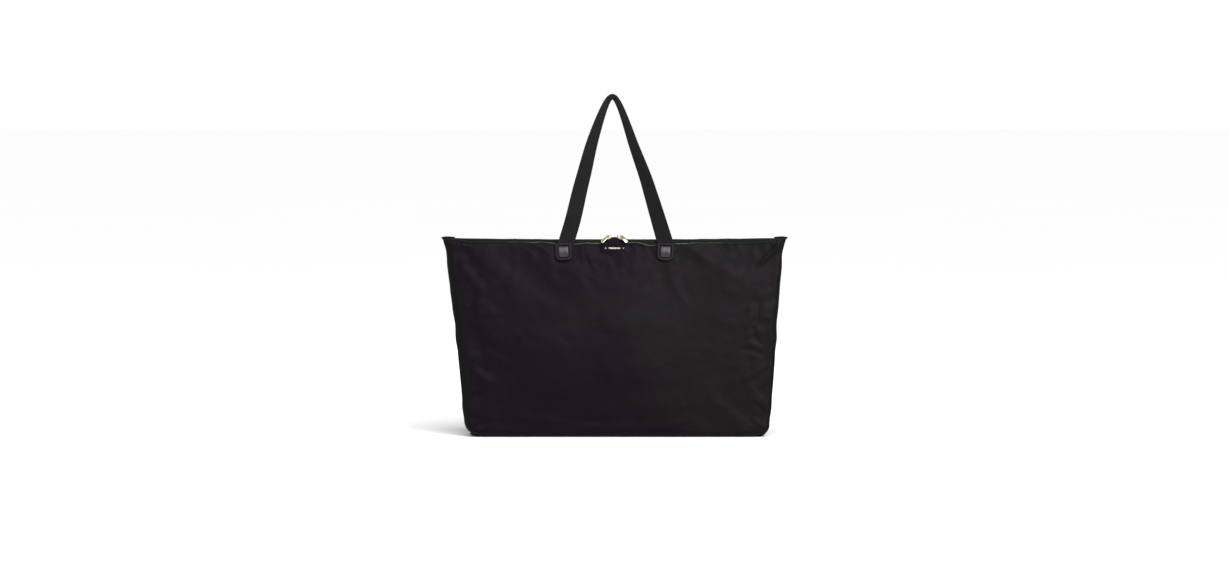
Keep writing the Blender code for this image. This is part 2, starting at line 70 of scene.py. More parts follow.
lower_low, lower_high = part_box("front_panel_lower")
upper_low, upper_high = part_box("front_panel_upper")
strap_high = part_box("front_handle_strap")[1]
anchor_low, anchor_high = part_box("front_right_anchor")
tab_low, tab_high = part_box("centre_tab")
plate_low, plate_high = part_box("nameplate")
stud_low, stud_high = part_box("nameplate_stud_right")
pocket_low, pocket_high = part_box("stow_pocket")
pocket_tape_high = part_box("pocket_zip_tape")[1]
pocket_coil_low, pocket_coil_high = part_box("pocket_zip_coil")
zip_tape_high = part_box("front_zip_tape")[1]
coil_low, coil_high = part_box("front_zip_coil")
end_tab_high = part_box("zip_end_tab_right")[1]

WALL_TOP = upper_high.z
WALL_FOOT = 0.0020
FOOT_DEPTH = -lower_low.y
RIM_DEPTH = 0.0090
BULGE = 0.0120
BULGE_AT_EDGE = 0.45
ZIP_HEIGHT = (coil_low.z + coil_high.z) / 2
ZIP_RISE_AT_ENDS = 0.0023
SEAM_RISE_AT_ENDS = 0.0052
PINCH_AT_ENDS = 0.0022
CLOTH = 0.0007

EDGE_ACROSS = 0.0130
EDGE_BACK = 0.0080
EDGE_BACK_SHARE = 0.60
FOOT_ACROSS = 0.0180
FOOT_TALL = 0.0170
LEFT_FOOT_SLACK = 1.45
FOOT_ROUND = 0.0080
FOOT_SWAY = 0.0040
FLOOR_GAP = 0.0006

HINGE_DEPTH = 0.0165
HINGE_HEIGHT = 0.3048

PATCH_X = (anchor_low.x + anchor_high.x) / 2
PATCH_Z = (anchor_low.z + anchor_high.z) / 2


def smooth(value):
    """0 below 0, 1 above 1 and a soft step between."""
    t = np.clip(value, 0, 1)
    return t * t * (3 - 2 * t)


def straight_half_width(z):
    """Half the bag's width at a height: the sides lean outwards in a straight line."""
    slope = (upper_high.x - lower_high.x) / (upper_high.z - lower_high.z)
    return lower_high.x + slope * (z - lower_high.z)


def half_width(z):
    """The same with the sides drawn in a little at mid height and standing out at the very top."""
    waist = 0.0022 * np.exp(-((z - 0.200) / 0.060) ** 2)
    return straight_half_width(z) - waist + 0.0030 * smooth((z - 0.272) / 0.030)


def sway(z):
    """How far the bag's foot stands to the right of its mouth, at a height."""
    return FOOT_SWAY * (1 - smooth((z - 0.060) / 0.240))


def wall_depth(x, z):
    """How far a wall's outer face stands from the middle of the bag."""
    rise = np.clip((z - WALL_FOOT) / (WALL_TOP - WALL_FOOT), 0, 1)
    straight = FOOT_DEPTH + (RIM_DEPTH - FOOT_DEPTH) * rise
    share = 1 - (1 - BULGE_AT_EDGE) * (x / half_width(z)) ** 2
    return straight + BULGE * share * np.sin(math.pi * rise)


def foot_inset(z, hand):
    """How far a bottom corner is rounded in, sideways, at a height: the left one hangs rounder."""
    slack = np.where(hand < 0, LEFT_FOOT_SLACK, 1.0)
    fall = np.clip(1 - z / (FOOT_TALL * slack), 0, 1)
    return FOOT_ACROSS * slack * (1 - np.sqrt(1 - fall ** 2))


def zip_lift(x):
    """How much higher than at its middle the cloth beside the zip stands at x. The coil is straight."""
    return ZIP_RISE_AT_ENDS * (x / zip_tape_high.x) ** 2


# Where the top seam rises or dips: the place, how much, and over what distance.
SEAM_WAVES = (
    (-0.170, 0.0024, 0.050),
    (-0.079, -0.0030, 0.016),
    (-0.046, 0.0012, 0.010),
    (0.030, 0.0022, 0.012),
    (0.060, -0.0032, 0.012),
    (0.083, -0.0010, 0.010),
    (0.190, 0.0014, 0.050),
)


def seam_lift(x):
    """How much higher than its middle a wall's top seam runs: with the zip, and up to its tails."""
    waves = sum(rise * np.exp(-((x - at) / width) ** 2) for at, rise, width in SEAM_WAVES)
    return zip_lift(x) + waves + SEAM_RISE_AT_ENDS * smooth((np.abs(x) - 0.228) / 0.036)


def lumps(x, z, cell, seed):
    """Smooth noise from -1 to 1 whose lumps are about a cell across."""
    size = 64
    lattice = np.random.default_rng(seed).uniform(-1, 1, (size, size))
    u, v = np.broadcast_arrays(x / cell + size, z / cell + size)
    i, j = np.floor(u).astype(int), np.floor(v).astype(int)
    fu, fv = smooth(u - i), smooth(v - j)
    low = lattice[i % size, j % size] * (1 - fu) + lattice[(i + 1) % size, j % size] * fu
    high = lattice[i % size, (j + 1) % size] * (1 - fu) + lattice[(i + 1) % size, (j + 1) % size] * fu
    return low * (1 - fv) + high * fv


# ---- Materials ----------------------------------------------------------------------------------


def add(tree, kind, inputs=None, **properties):
    """A new node with its properties, and its inputs set or linked."""
    made = tree.nodes.new(kind)
    for name, value in properties.items():
        setattr(made, name, value)
    for name, value in (inputs or {}).items():
        if isinstance(value, bpy.types.NodeSocket):
            tree.links.new(value, made.inputs[name])
        else:
            made.inputs[name].default_value = value
    return made


def new_material(name, **sockets):
    """A node material with values set on its shader's own sockets."""
    material = bpy.data.materials.new(name)
    material.use_nodes = True
    tree = material.node_tree
    shader = tree.nodes["Principled BSDF"]
    for socket, value in sockets.items():
        shader.inputs[socket.replace("_", " ")].default_value = value
    return material, tree, shader


def connect(tree, shader, colour, rough, normal):
    """Links a material's colour, roughness and bumps to its shader."""
    tree.links.new(colour, shader.inputs["Base Color"])
    tree.links.new(rough, shader.inputs["Roughness"])
    tree.links.new(normal, shader.inputs["Normal"])


def object_place(tree):
    return add(tree, "ShaderNodeTexCoord").outputs["Object"]


def cloth_place(tree):
    return add(tree, "ShaderNodeUVMap", uv_map="cloth").outputs["UV"]


def noise(tree, place, scale, detail=3.0, roughness=0.5):
    inputs = {"Vector": place, "Scale": scale, "Detail": detail, "Roughness": roughness}
    return add(tree, "ShaderNodeTexNoise", inputs).outputs["Fac"]


def bands(tree, place, period, direction, distortion=0.0):
    """Ribs with the given period along one axis of place."""
    inputs = {"Vector": place, "Scale": math.pi / 10 / period, "Distortion": distortion}
    return add(tree, "ShaderNodeTexWave", inputs, bands_direction=direction).outputs["Fac"]


def maths(tree, operation, first, second):
    made = add(tree, "ShaderNodeMath", operation=operation)
    for socket, value in zip(made.inputs, (first, second)):
        if isinstance(value, bpy.types.NodeSocket):
            tree.links.new(value, socket)
        else:
            socket.default_value = value
    return made.outputs[0]


def spread(tree, value, low, high, start=0.0, end=1.0):
    """Maps start to end onto low to high."""
    inputs = {"Value": value, "From Min": start, "From Max": end, "To Min": low, "To Max": high}
    return add(tree, "ShaderNodeMapRange", inputs).outputs["Result"]


def mix_colour(tree, factor, first, second):
    made = add(tree, "ShaderNodeMix", data_type="RGBA")
    for socket, value in ((made.inputs[0], factor), (made.inputs[6], first), (made.inputs[7], second)):
        if isinstance(value, bpy.types.NodeSocket):
            tree.links.new(value, socket)
        else:
            socket.default_value = value
    return made.outputs[2]


def bump(tree, height, depth, strength=1.0, before=None):
    inputs = {"Height": height, "Distance": depth, "Strength": strength}
    if before is not None:
        inputs["Normal"] = before
    return add(tree, "ShaderNodeBump", inputs).outputs["Normal"]


def weave(tree, place, period):
    """A plain weave: threads over and under each other."""
    across = bands(tree, place, period, "X")
    along = bands(tree, place, period, "Y")
    return maths(tree, "MULTIPLY", across, along)


def warm_patches(tree, place):
    """1 where the cloth turns brown, over the middle and right of the front, and 0 elsewhere."""
    across, _, up = add(tree, "ShaderNodeSeparateXYZ", {"Vector": place}).outputs
    off_middle = maths(tree, "ABSOLUTE", maths(tree, "SUBTRACT", up, 0.17), 0.0)
    cloudy = spread(tree, noise(tree, place, 9.0, 2.0), -0.2, 0.9)
    total = maths(tree, "ADD", maths(tree, "MULTIPLY", across, 2.6), cloudy)
    total = maths(tree, "SUBTRACT", total, maths(tree, "MULTIPLY", off_middle, 3.6))
    return spread(tree, total, 0, 1, 0.02, 0.34)


def nylon(name, shade=1.0):
    """Fine black nylon with a plum cast that turns browner in patches, and a satin sheen."""
    material, tree, shader = new_material(name, Sheen_Weight=0.012, Sheen_Roughness=0.40,
                                          Sheen_Tint=(0.80, 0.70, 0.90, 1), Specular_IOR_Level=0.085,
                                          Specular_Tint=(0.95, 0.78, 0.98, 1))
    place, flat = object_place(tree), cloth_place(tree)
    patches = warm_patches(tree, place)
    plum = [shade * value for value in (0.0030, 0.0014, 0.0036)] + [1]
    brown = [shade * value for value in (0.0046, 0.0042, 0.0036)] + [1]
    green_black = (0.0030, 0.0036, 0.0030, 1)
    colour = mix_colour(tree, patches, plum, brown)
    edge = add(tree, "ShaderNodeAttribute", attribute_name="edge_tone").outputs["Fac"]
    colour = mix_colour(tree, edge, colour, green_black)
    threads = weave(tree, flat, 0.00042)
    colour = mix_colour(tree, spread(tree, threads, 0.18, 0.0), colour, (0.0020, 0.0014, 0.0022, 1))
    rough = spread(tree, noise(tree, place, 38.0, 4.0), 0.40, 0.56)
    crinkle = bump(tree, noise(tree, place, 95.0, 4.0, 0.55), 0.0009, 0.55)
    connect(tree, shader, colour, rough, bump(tree, threads, 0.00008, 0.5, crinkle))
    return material


def webbing(name):
    """Ribbed black webbing: close ribs across it and a slightly fuzzy face."""
    material, tree, shader = new_material(name, Sheen_Weight=0.03, Sheen_Roughness=0.6,
                                          Sheen_Tint=(0.8, 0.8, 0.8, 1), Specular_IOR_Level=0.12)
    place, flat = object_place(tree), cloth_place(tree)
    ribs = bands(tree, flat, 0.0011, "Y", 0.4)
    cords = bands(tree, flat, 0.0016, "X", 0.2)
    raised = maths(tree, "MULTIPLY", ribs, spread(tree, cords, 0.45, 1.0))
    colour = mix_colour(tree, raised, (0.0030, 0.0030, 0.0030, 1), (0.0100, 0.0100, 0.0098, 1))
    wear_and_highlight = spread(tree, noise(tree, place, 26.0, 3.0), 0.0, 0.35, 0.35, 0.75)
    colour = mix_colour(tree, wear_and_highlight, colour, (0.0120, 0.0120, 0.0118, 1))
    rough = spread(tree, noise(tree, place, 420.0, 2.0), 0.62, 0.82)
    fuzz = bump(tree, noise(tree, place, 2200.0, 2.0), 0.00010, 0.5)
    connect(tree, shader, colour, rough, bump(tree, raised, 0.00035, 0.9, fuzz))
    return material


def leather(name, dark, light, rough_low, rough_high, gloss):
    """Fine pebbled leather, paler in random worn patches."""
    material, tree, shader = new_material(name, Coat_Weight=0.15 * gloss, Coat_Roughness=0.30,
                                          Specular_IOR_Level=gloss)
    place = object_place(tree)
    pebbles = add(tree, "ShaderNodeTexVoronoi", {"Vector": place, "Scale": 1150.0, "Randomness": 0.9},
                  feature="SMOOTH_F1").outputs["Distance"]
    wear = spread(tree, noise(tree, place, 120.0, 4.0), 0.0, 1.0, 0.35, 0.70)
    rough = spread(tree, pebbles, rough_low, rough_high, 0.0, 0.7)
    grain = bump(tree, pebbles, -0.00012, 0.55)
    creases = bump(tree, noise(tree, place, 300.0, 3.0), 0.00025, 0.3, grain)
    connect(tree, shader, mix_colour(tree, wear, dark, light), rough, creases)
    return material


def plated(name, bright, dull, rough_low=0.16, rough_high=0.34):
    """Pale gold plating with faint brushing and darker handling marks."""
    material, tree, shader = new_material(name, Metallic=1.0, Anisotropic=0.25)
    place = object_place(tree)
    marks = spread(tree, noise(tree, place, 240.0, 5.0, 0.6), 0.0, 1.0, 0.42, 0.72)
    rough = spread(tree, noise(tree, place, 700.0, 3.0), rough_low, rough_high)
    brushed = bump(tree, noise(tree, place, 900.0, 2.0), 0.00006, 0.4)
    connect(tree, shader, mix_colour(tree, marks, bright, dull), rough, brushed)
    return material


def tape_cloth(name, dark, light, period):
    """Close twill tape: ribs that run aslant over the tape."""
    material, tree, shader = new_material(name, Sheen_Weight=0.02, Sheen_Roughness=0.5,
                                          Specular_IOR_Level=0.15)
    flat = cloth_place(tree)
    turn = add(tree, "ShaderNodeVectorRotate", {"Vector": flat, "Angle": math.radians(38)},
               rotation_type="Z_AXIS").outputs["Vector"]
    twill = maths(tree, "MULTIPLY", bands(tree, turn, period, "X"), bands(tree, flat, period, "Y"))
    rough = spread(tree, noise(tree, object_place(tree), 300.0), 0.55, 0.75)
    connect(tree, shader, mix_colour(tree, twill, dark, light), rough, bump(tree, twill, 0.00015, 0.8))
    return material


def hem_cloth(name):
    """The rolled hem with a painted highlight: pale between the handles and their near sides, dark further
    out.
    """
    material, tree, shader = new_material(name, Specular_IOR_Level=0.12)
    place, flat = object_place(tree), cloth_place(tree)
    across = add(tree, "ShaderNodeSeparateXYZ", {"Vector": place}).outputs["X"]
    aside = maths(tree, "ABSOLUTE", across, 0.0)
    beside_tab = spread(tree, aside, 1.0, 0.0, 0.016, 0.028)
    far = maths(tree, "ADD", spread(tree, aside, 0.0, 1.0, 0.10, 0.20), beside_tab)
    # Painted highlight mask: 0 along the pale painted highlight of the hem's roll, 1 where the hem stays
    # dark, with random variation.
    wear_and_highlight = maths(tree, "ADD", far, spread(tree, noise(tree, place, 45.0, 3.0), 0.0, 0.7, 0.35, 0.70))
    # The pale colour is the painted highlight along the hem's roll; the dark one is the hem's own colour.
    colour = mix_colour(tree, wear_and_highlight, (0.090, 0.094, 0.082, 1), (0.012, 0.013, 0.011, 1))
    threads = bands(tree, flat, 0.0006, "Y")
    colour = mix_colour(tree, spread(tree, threads, 0.35, 0.0), colour, (0.008, 0.008, 0.007, 1))
    rough = spread(tree, noise(tree, place, 300.0), 0.55, 0.75)
    connect(tree, shader, colour, rough, bump(tree, threads, 0.00010, 0.6))
    return material


def moulded(name, dark, light):
    """Drawn nylon thread or coil: smooth, a little shiny, with fine lengthwise lines."""
    material, tree, shader = new_material(name, Specular_IOR_Level=0.25)
    place = object_place(tree)
    colour = mix_colour(tree, noise(tree, place, 180.0, 3.0), dark, light)
    rough = spread(tree, noise(tree, place, 500.0, 2.0), 0.32, 0.48)
    connect(tree, shader, colour, rough, bump(tree, noise(tree, place, 2600.0, 2.0), 0.00005, 0.5))
    return material


NYLON = nylon("bag_nylon")
LINING = nylon("pocket_nylon", shade=1.4)
WEBBING = webbing("strap_webbing")
LEATHER = leather("patch_leather", (0.0050, 0.0024, 0.0060, 1), (0.0110, 0.0066, 0.0125, 1), 0.42, 0.58, 0.16)
PAD_LEATHER = leather("pad_leather", (0.0120, 0.0095, 0.0135, 1), (0.0330, 0.0270, 0.0360, 1),
                      0.30, 0.42, 0.42)
TAB_LEATHER = leather("tab_leather", (0.0040, 0.0014, 0.0050, 1), (0.0070, 0.0032, 0.0085, 1),
                      0.40, 0.55, 0.08)
GOLD = plated("pale_gold", (0.96, 0.84, 0.58, 1), (0.66, 0.52, 0.28, 1))
PLATE_GOLD = plated("plate_gold", (0.36, 0.34, 0.31, 1), (0.10, 0.085, 0.075, 1), 0.28, 0.50)
# Painted shade: a darker copy of the pale gold, for the sliders' crowns, which look dark in shade.
PAINTED_SHADE_GOLD = plated("shaded_gold", (0.30, 0.26, 0.13, 1), (0.14, 0.12, 0.06, 1))
TAPE = tape_cloth("zip_tape_cloth", (0.0026, 0.0036, 0.0026, 1), (0.0070, 0.0090, 0.0068, 1), 0.0007)
HEM_CLOTH = hem_cloth("hem_cloth")
TAIL_CLOTH = tape_cloth("zip_tail_cloth", (0.0016, 0.0020, 0.0016, 1), (0.0040, 0.0046, 0.0038, 1), 0.0007)
BINDING = tape_cloth("binding_cloth", (0.0030, 0.0030, 0.0032, 1), (0.0090, 0.0090, 0.0094, 1), 0.0010)
COIL = moulded("coil_nylon", (0.0040, 0.0048, 0.0040, 1), (0.0110, 0.0125, 0.0105, 1))
THREAD = moulded("seam_thread", (0.0050, 0.0038, 0.0055, 1), (0.0120, 0.0100, 0.0130, 1))


# ---- Mesh builders ------------------------------------------------------------------------------


def grid_faces(rows, columns, wrap=False):
    """Quads between points numbered row by row. With wrap the last column meets the first."""
    across = columns if wrap else columns - 1
    row, column = np.meshgrid(np.arange(rows - 1), np.arange(across), indexing="ij")
    near = row * columns + column
    far = row * columns + (column + 1) % columns
    return np.stack([near, far, far + columns, near + columns], axis=-1).reshape(-1, 4)


def unit(vectors):
    return vectors / np.maximum(np.linalg.norm(vectors, axis=-1, keepdims=True), 1e-12)


def grid_normals(sheet):
    """Normals of a grid of points: across the columns, cross up the rows."""
    return unit(np.cross(np.gradient(sheet, axis=1), np.gradient(sheet, axis=0)))


def grid_lengths(sheet):
    """Distances run along each row and up each column of a grid, for cloth coordinates."""
    across = np.linalg.norm(np.diff(sheet, axis=1), axis=2)
    up = np.linalg.norm(np.diff(sheet, axis=0), axis=2)
    u = np.pad(np.cumsum(across, axis=1), ((0, 0), (1, 0)))
    v = np.pad(np.cumsum(up, axis=0), ((1, 0), (0, 0)))
    return np.stack([u, v], axis=-1).reshape(-1, 2)


def make_piece(name, points, faces, material, cloth=None, normals=None, tone=None, sharp=35):
    """A mesh object that stands over with the bag. cloth holds coordinates along the fabric, and
    tone a value for each point."""
    points = np.array(points, float)
    points[:, 0] += sway(points[:, 2])
    mesh = bpy.data.meshes.new(name)
    mesh.from_pydata(points.tolist(), [], [list(map(int, f)) for f in faces])
    mesh.materials.append(material)
    mesh.shade_smooth()
    if cloth is not None:
        corners = np.zeros(len(mesh.loops), np.int32)
        mesh.loops.foreach_get("vertex_index", corners)
        layer = mesh.uv_layers.new(name="cloth")
        layer.data.foreach_set("uv", np.asarray(cloth, np.float32)[corners].ravel())
    if tone is not None:
        layer = mesh.attributes.new("edge_tone", "FLOAT", "POINT")
        layer.data.foreach_set("value", np.asarray(tone, np.float32).ravel())
    if normals is None:
        mesh.set_sharp_from_angle(angle=math.radians(sharp))
    else:
        mesh.normals_split_custom_set_from_vertices(np.asarray(normals, float).tolist())
    made = bpy.data.objects.new(name, mesh)
    bpy.context.scene.collection.objects.link(made)
    return made


def cloth_piece(name, sheet, material, thickness=CLOTH, normals=None, tone=None):
    """Cloth whose outer face is a grid of points and whose inner face lies a thickness behind it."""
    rows, columns = sheet.shape[:2]
    count = rows * columns
    outward = grid_normals(sheet) if normals is None else normals
    points = np.concatenate([sheet.reshape(-1, 3), (sheet - outward * thickness).reshape(-1, 3)])
    outer = grid_faces(rows, columns)
    number = np.arange(count).reshape(rows, columns)
    ring = np.concatenate([number[0], number[1:, -1], number[-1, -2::-1], number[-2:0:-1, 0]])
    after = np.roll(ring, -1)
    rim = np.stack([after, ring, ring + count, after + count], axis=-1)
    faces = np.concatenate([outer, outer[:, ::-1] + count, rim])
    facing = np.concatenate([outward.reshape(-1, 3), -outward.reshape(-1, 3)])
    lengths = np.tile(grid_lengths(sheet), (2, 1))
    tones = None if tone is None else np.tile(tone.ravel(), 2)
    return make_piece(name, points, faces, material, lengths, facing, tones)


def sweep(centres, across, up, section, wide=None):
    """Points and faces of a closed section carried along centres. wide scales it at each centre."""
    count, around = len(centres), len(section)
    scale = np.ones(count) if wide is None else np.asarray(wide)
    ring = (section[None, :, 0, None] * across[:, None] + section[None, :, 1, None] * up[:, None])
    points = centres[:, None] + ring * scale[:, None, None]
    faces = [list(f) for f in grid_faces(count, around, wrap=True)]
    faces.append(list(range(around))[::-1])
    faces.append([(count - 1) * around + k for k in range(around)])
    lengths = np.concatenate([[0], np.cumsum(np.linalg.norm(np.diff(centres, axis=0), axis=1))])
    u = np.broadcast_to(section[None, :, 0], (count, around))
    v = np.broadcast_to(lengths[:, None], (count, around))
    return points.reshape(-1, 3), faces, np.stack([u, v], axis=-1).reshape(-1, 2)


def joined(parts):
    """Several (points, faces, cloth) joined into one."""
    points, faces, cloth, start = [], [], [], 0
    for part_points, part_faces, part_cloth in parts:
        points.append(part_points)
        cloth.append(part_cloth)
        faces += [[index + start for index in face] for face in part_faces]
        start += len(part_points)
    return np.concatenate(points), faces, np.concatenate(cloth)


def oval(half_across, half_up, around=10):
    turn = np.arange(around) / around * 2 * math.pi
    return np.stack([half_across * np.cos(turn), half_up * np.sin(turn)], axis=-1)


def bar(width, thickness, corner, corner_steps=3):
    """A rectangle with round corners, as (across, up) points run anticlockwise."""
    found = []
    for quarter, (right, top) in enumerate(((1, 1), (-1, 1), (-1, -1), (1, -1))):
        for step in range(corner_steps + 1):
            turn = (quarter + step / corner_steps) * math.pi / 2
            found.append((right * (width / 2 - corner) + corner * math.cos(turn),
                          top * (thickness / 2 - corner) + corner * math.sin(turn)))
    return np.array(found)


def tangents(path):
    return unit(np.gradient(path, axis=0))


def square_to(along, vectors):
    """Unit vectors at right angles to along, as near to the given ones as can be."""
    return unit(vectors - along * np.sum(vectors * along, axis=1, keepdims=True))


def everywhere(path, x, y, z):
    """One direction, for every point of a path."""
    return np.broadcast_to(np.array([x, y, z], float), path.shape)


def grid_points(x, y, z):
    """Points of a grid, from coordinates of which each may change along one way of it only."""
    return np.stack(np.broadcast_arrays(x, y, z), axis=-1)


def stitches(path, outward, length=0.0024, gap=0.0010, radius=0.00022):
    """Short raised stitches along a path that lies on a surface."""
    run = np.concatenate([[0], np.cumsum(np.linalg.norm(np.diff(path, axis=0), axis=1))])
    parts = []
    count = int((run[-1] + gap) / (length + gap))
    for number in range(count):
        begin = number * (length + gap)
        at = np.linspace(begin, begin + length, 5)
        centre = np.stack([np.interp(at, run, path[:, k]) for k in range(3)], axis=-1)
        away = unit(np.stack([np.interp(at, run, outward[:, k]) for k in range(3)], axis=-1))
        hump = np.sin(np.linspace(0, math.pi, 5))
        centre = centre + away * (radius * (0.9 * hump - 0.35))[:, None]
        along = tangents(centre)
        parts.append(sweep(centre, unit(np.cross(along, away)), away, oval(radius, radius * 0.8, 6),
                           0.45 + 0.55 * hump))
    return joined(parts)


def turned(points):
    """Points turned half round Z."""
    return points * np.array([-1.0, -1.0, 1.0])


def faced(side, points):
    """Points made for the front, turned for the back."""
    return points if side == FRONT else turned(points)


def column_halves(side, columns):
    """The two halves of a wall's columns, which share the middle one, and the half of the bag each is."""
    middle = columns // 2
    halves = HALVES if side == FRONT else HALVES[::-1]
    return zip(halves, (slice(0, middle + 1), slice(middle, None)))


# ---- How pieces follow the moving bodies --------------------------------------------------------


def follow_rim(piece):
    """A piece of one half of a wall, with its transform baked into its points."""
    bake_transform(piece)


def fold_flat(piece):
    """A piece of the gussets, parented to the bag's base body, with a mesh of its own."""
    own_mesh(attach(piece, "bag_base"))


# ---- The walls ----------------------------------------------------------------------------------

# Each fold: where it starts and ends (x, z), how wide it is, how high it stands, and how it bows.
FRONT_FOLDS = (
    ((-0.082, 0.276), (-0.036, 0.216), 0.0060, 0.0012, 0.004),
    ((-0.070, 0.276), (-0.012, 0.236), 0.0045, 0.0012, -0.003),
    ((-0.240, 0.298), (-0.150, 0.212), 0.0150, 0.0032, 0.006),
    ((-0.205, 0.299), (-0.105, 0.205), 0.0110, 0.0020, -0.008),
    ((-0.262, 0.280), (-0.205, 0.190), 0.0090, 0.0022, 0.010),
    ((-0.150, 0.299), (-0.118, 0.270), 0.0050, 0.0014, 0.002),
    ((-0.125, 0.300), (-0.100, 0.282), 0.0035, 0.0012, 0.001),
    ((-0.060, 0.300), (-0.048, 0.268), 0.0034, 0.0010, 0.002),
    ((-0.046, 0.300), (-0.028, 0.258), 0.0040, 0.0011, -0.002),
    ((-0.033, 0.298), (-0.034, 0.276), 0.0026, 0.0007, 0.001),
    ((-0.018, 0.290), (-0.002, 0.256), 0.0036, 0.0008, 0.003),
    ((0.012, 0.290), (0.024, 0.262), 0.0032, 0.0007, -0.002),
    ((0.030, 0.299), (0.038, 0.270), 0.0034, 0.0008, 0.002),
    ((0.048, 0.301), (0.062, 0.280), 0.0030, 0.0009, -0.002),
    ((0.072, 0.276), (0.030, 0.220), 0.0050, 0.0014, 0.004),
    ((0.086, 0.276), (0.110, 0.214), 0.0060, 0.0016, -0.005),
    ((0.098, 0.298), (0.190, 0.276), 0.0090, 0.0024, 0.004),
    ((0.120, 0.300), (0.240, 0.236), 0.0120, 0.0026, -0.010),
    ((0.266, 0.301), (0.236, 0.272), 0.0032, 0.0036, 0.002),
    ((0.248, 0.302), (0.268, 0.282), 0.0030, 0.0022, 0.001),
    ((0.266, 0.292), (0.228, 0.266), 0.0038, 0.0034, -0.003),
    ((0.256, 0.258), (0.222, 0.236), 0.0040, -0.0018, 0.004),
    ((0.246, 0.236), (0.206, 0.206), 0.0040, -0.0022, -0.006),
    ((0.228, 0.210), (0.216, 0.176), 0.0032, -0.0018, 0.004),
    ((0.218, 0.170), (0.229, 0.144), 0.0030, -0.0016, -0.003),
    ((0.200, 0.138), (0.232, 0.128), 0.0038, -0.0020, 0.002),
    ((0.232, 0.112), (0.214, 0.096), 0.0028, 0.0014, 0.002),
    ((0.212, 0.078), (0.234, 0.060), 0.0034, 0.0009, -0.002),
    ((0.214, 0.056), (0.232, 0.036), 0.0030, -0.0014, 0.002),
    ((0.150, 0.060), (0.200, 0.014), 0.0080, 0.0016, 0.004),
    ((0.056, 0.128), (0.092, 0.096), 0.0070, -0.0008, 0.003),
    ((-0.030, 0.166), (0.020, 0.150), 0.0090, -0.0006, 0.002),
    ((-0.238, 0.008), (-0.206, 0.036), 0.0034, 0.0024, 0.002),
    ((-0.232, 0.004), (-0.196, 0.022), 0.0028, 0.0018, -0.001),
    ((-0.240, 0.022), (-0.214, 0.058), 0.0040, 0.0018, 0.003),
    ((-0.240, 0.150), (-0.200, 0.080), 0.0110, 0.0022, -0.008),
    ((0.238, 0.008), (0.214, 0.030), 0.0034, 0.0018, -0.002),
    ((-0.150, 0.030), (-0.030, 0.010), 0.0060, 0.0012, 0.003),
    ((0.020, 0.012), (0.120, 0.026), 0.0060, 0.0012, -0.003),
)
BACK_FOLDS = tuple(((-a[0], a[1]), (-b[0], b[1]), width, height * 0.85, -bow)
                   for a, b, width, height, bow in FRONT_FOLDS)

# How much of each fold's height shows.
FOLD_STRENGTH = 0.55


def fold_height(x, z, folds):
    """How far folded cloth stands out of its smooth shape."""
    total = np.zeros(np.broadcast(x, z).shape)
    for start, end, width, height, bow in folds:
        run = np.array([end[0] - start[0], end[1] - start[1]])
        length = np.linalg.norm(run)
        along = run / length
        t = ((x - start[0]) * along[0] + (z - start[1]) * along[1]) / length
        aside = (z - start[1]) * along[0] - (x - start[0]) * along[1]
        aside = aside - bow * 4 * np.clip(t, 0, 1) * (1 - np.clip(t, 0, 1))
        past = np.maximum(np.maximum(-t, t - 1), 0) * length
        taper = np.exp(-(past / width) ** 2) * np.sin(math.pi * np.clip(0.12 + 0.76 * t, 0, 1)) ** 0.6
        ridge = 1 / (1 + (aside / width) ** 2) - 0.45 / (1 + ((aside - 2.2 * width) / (1.4 * width)) ** 2)
        total = total + height * taper * ridge
    return total


def wall_relief(x, z, side):
    """Folds, broad unevenness and small crumples of one wall's cloth, as a height."""
    folds = FRONT_FOLDS if side == FRONT else BACK_FOLDS
    seed = 11 if side == FRONT else 29
    total = FOLD_STRENGTH * fold_height(x, z, folds)
    total = total + 0.0024 * lumps(x, z, 0.110, seed)
    total = total + 0.0006 * lumps(x + 0.4 * z, z - 0.2 * x, 0.034, seed + 1)
    near_edge = smooth((np.abs(x) / half_width(z) - 0.55) / 0.45)
    near_top = smooth((z - 0.235) / 0.06)
    crumple = lumps(x - 0.7 * z, z + 0.5 * x, 0.014, seed + 2)
    total = total + (0.00025 + 0.0006 * near_edge + 0.0005 * near_top) * crumple
    pucker = np.sin(x * 430 + 9.0 * lumps(x, 0 * z, 0.045, seed + 3)) * smooth((z - 0.290) / 0.012)
    return total + 0.00030 * (0.5 + lumps(x, 0 * z, 0.03, seed + 4)) * pucker


def trim_mask(x, z):
    """0 where patches and the tab are sewn flat onto the wall, 1 away from them."""
    reach = np.maximum(np.abs(np.abs(x) - PATCH_X), np.abs(z - PATCH_Z))
    from_patch = smooth((reach - 0.0140) / 0.008)
    from_tab = smooth(np.maximum(np.abs(x) - 0.017, 0.292 - z) / 0.006)
    return 0.12 + 0.88 * np.minimum(from_patch, from_tab)


def lined(x, z, side):
    """1 where a binding or the pocket lies against the inside of the wall, and 0 elsewhere."""
    near_foot = 1 - smooth((z - 0.014) / 0.012)
    if side == FRONT:
        return near_foot
    beside = smooth((np.abs(x) - pocket_high.x - 0.004) / 0.010)
    below = smooth((pocket_low.z - 0.004 - z) / 0.010)
    above = smooth((z - pocket_tape_high.z - 0.006) / 0.010)
    return np.maximum(near_foot, 1 - np.maximum(beside, np.maximum(below, above)))


FLAT_COLUMNS = 120
EDGE_COLUMNS = 9
FLAT_ROWS = 136
FOOT_ROWS = 8


def row_heights(rows, above=()):
    """Heights of rows that start close together round the foot, and how far each is drawn in there."""
    foot = np.arange(FOOT_ROWS) / FOOT_ROWS * math.pi / 2
    z = np.concatenate([FLOOR_GAP + FOOT_ROUND * (1 - np.cos(foot)),
                        np.linspace(FLOOR_GAP + FOOT_ROUND, WALL_TOP, rows), WALL_TOP + np.array(above)])
    drawn_in = np.concatenate([1 - np.sin(foot), np.zeros(rows + len(above))])
    return z[:, None], drawn_in[:, None]


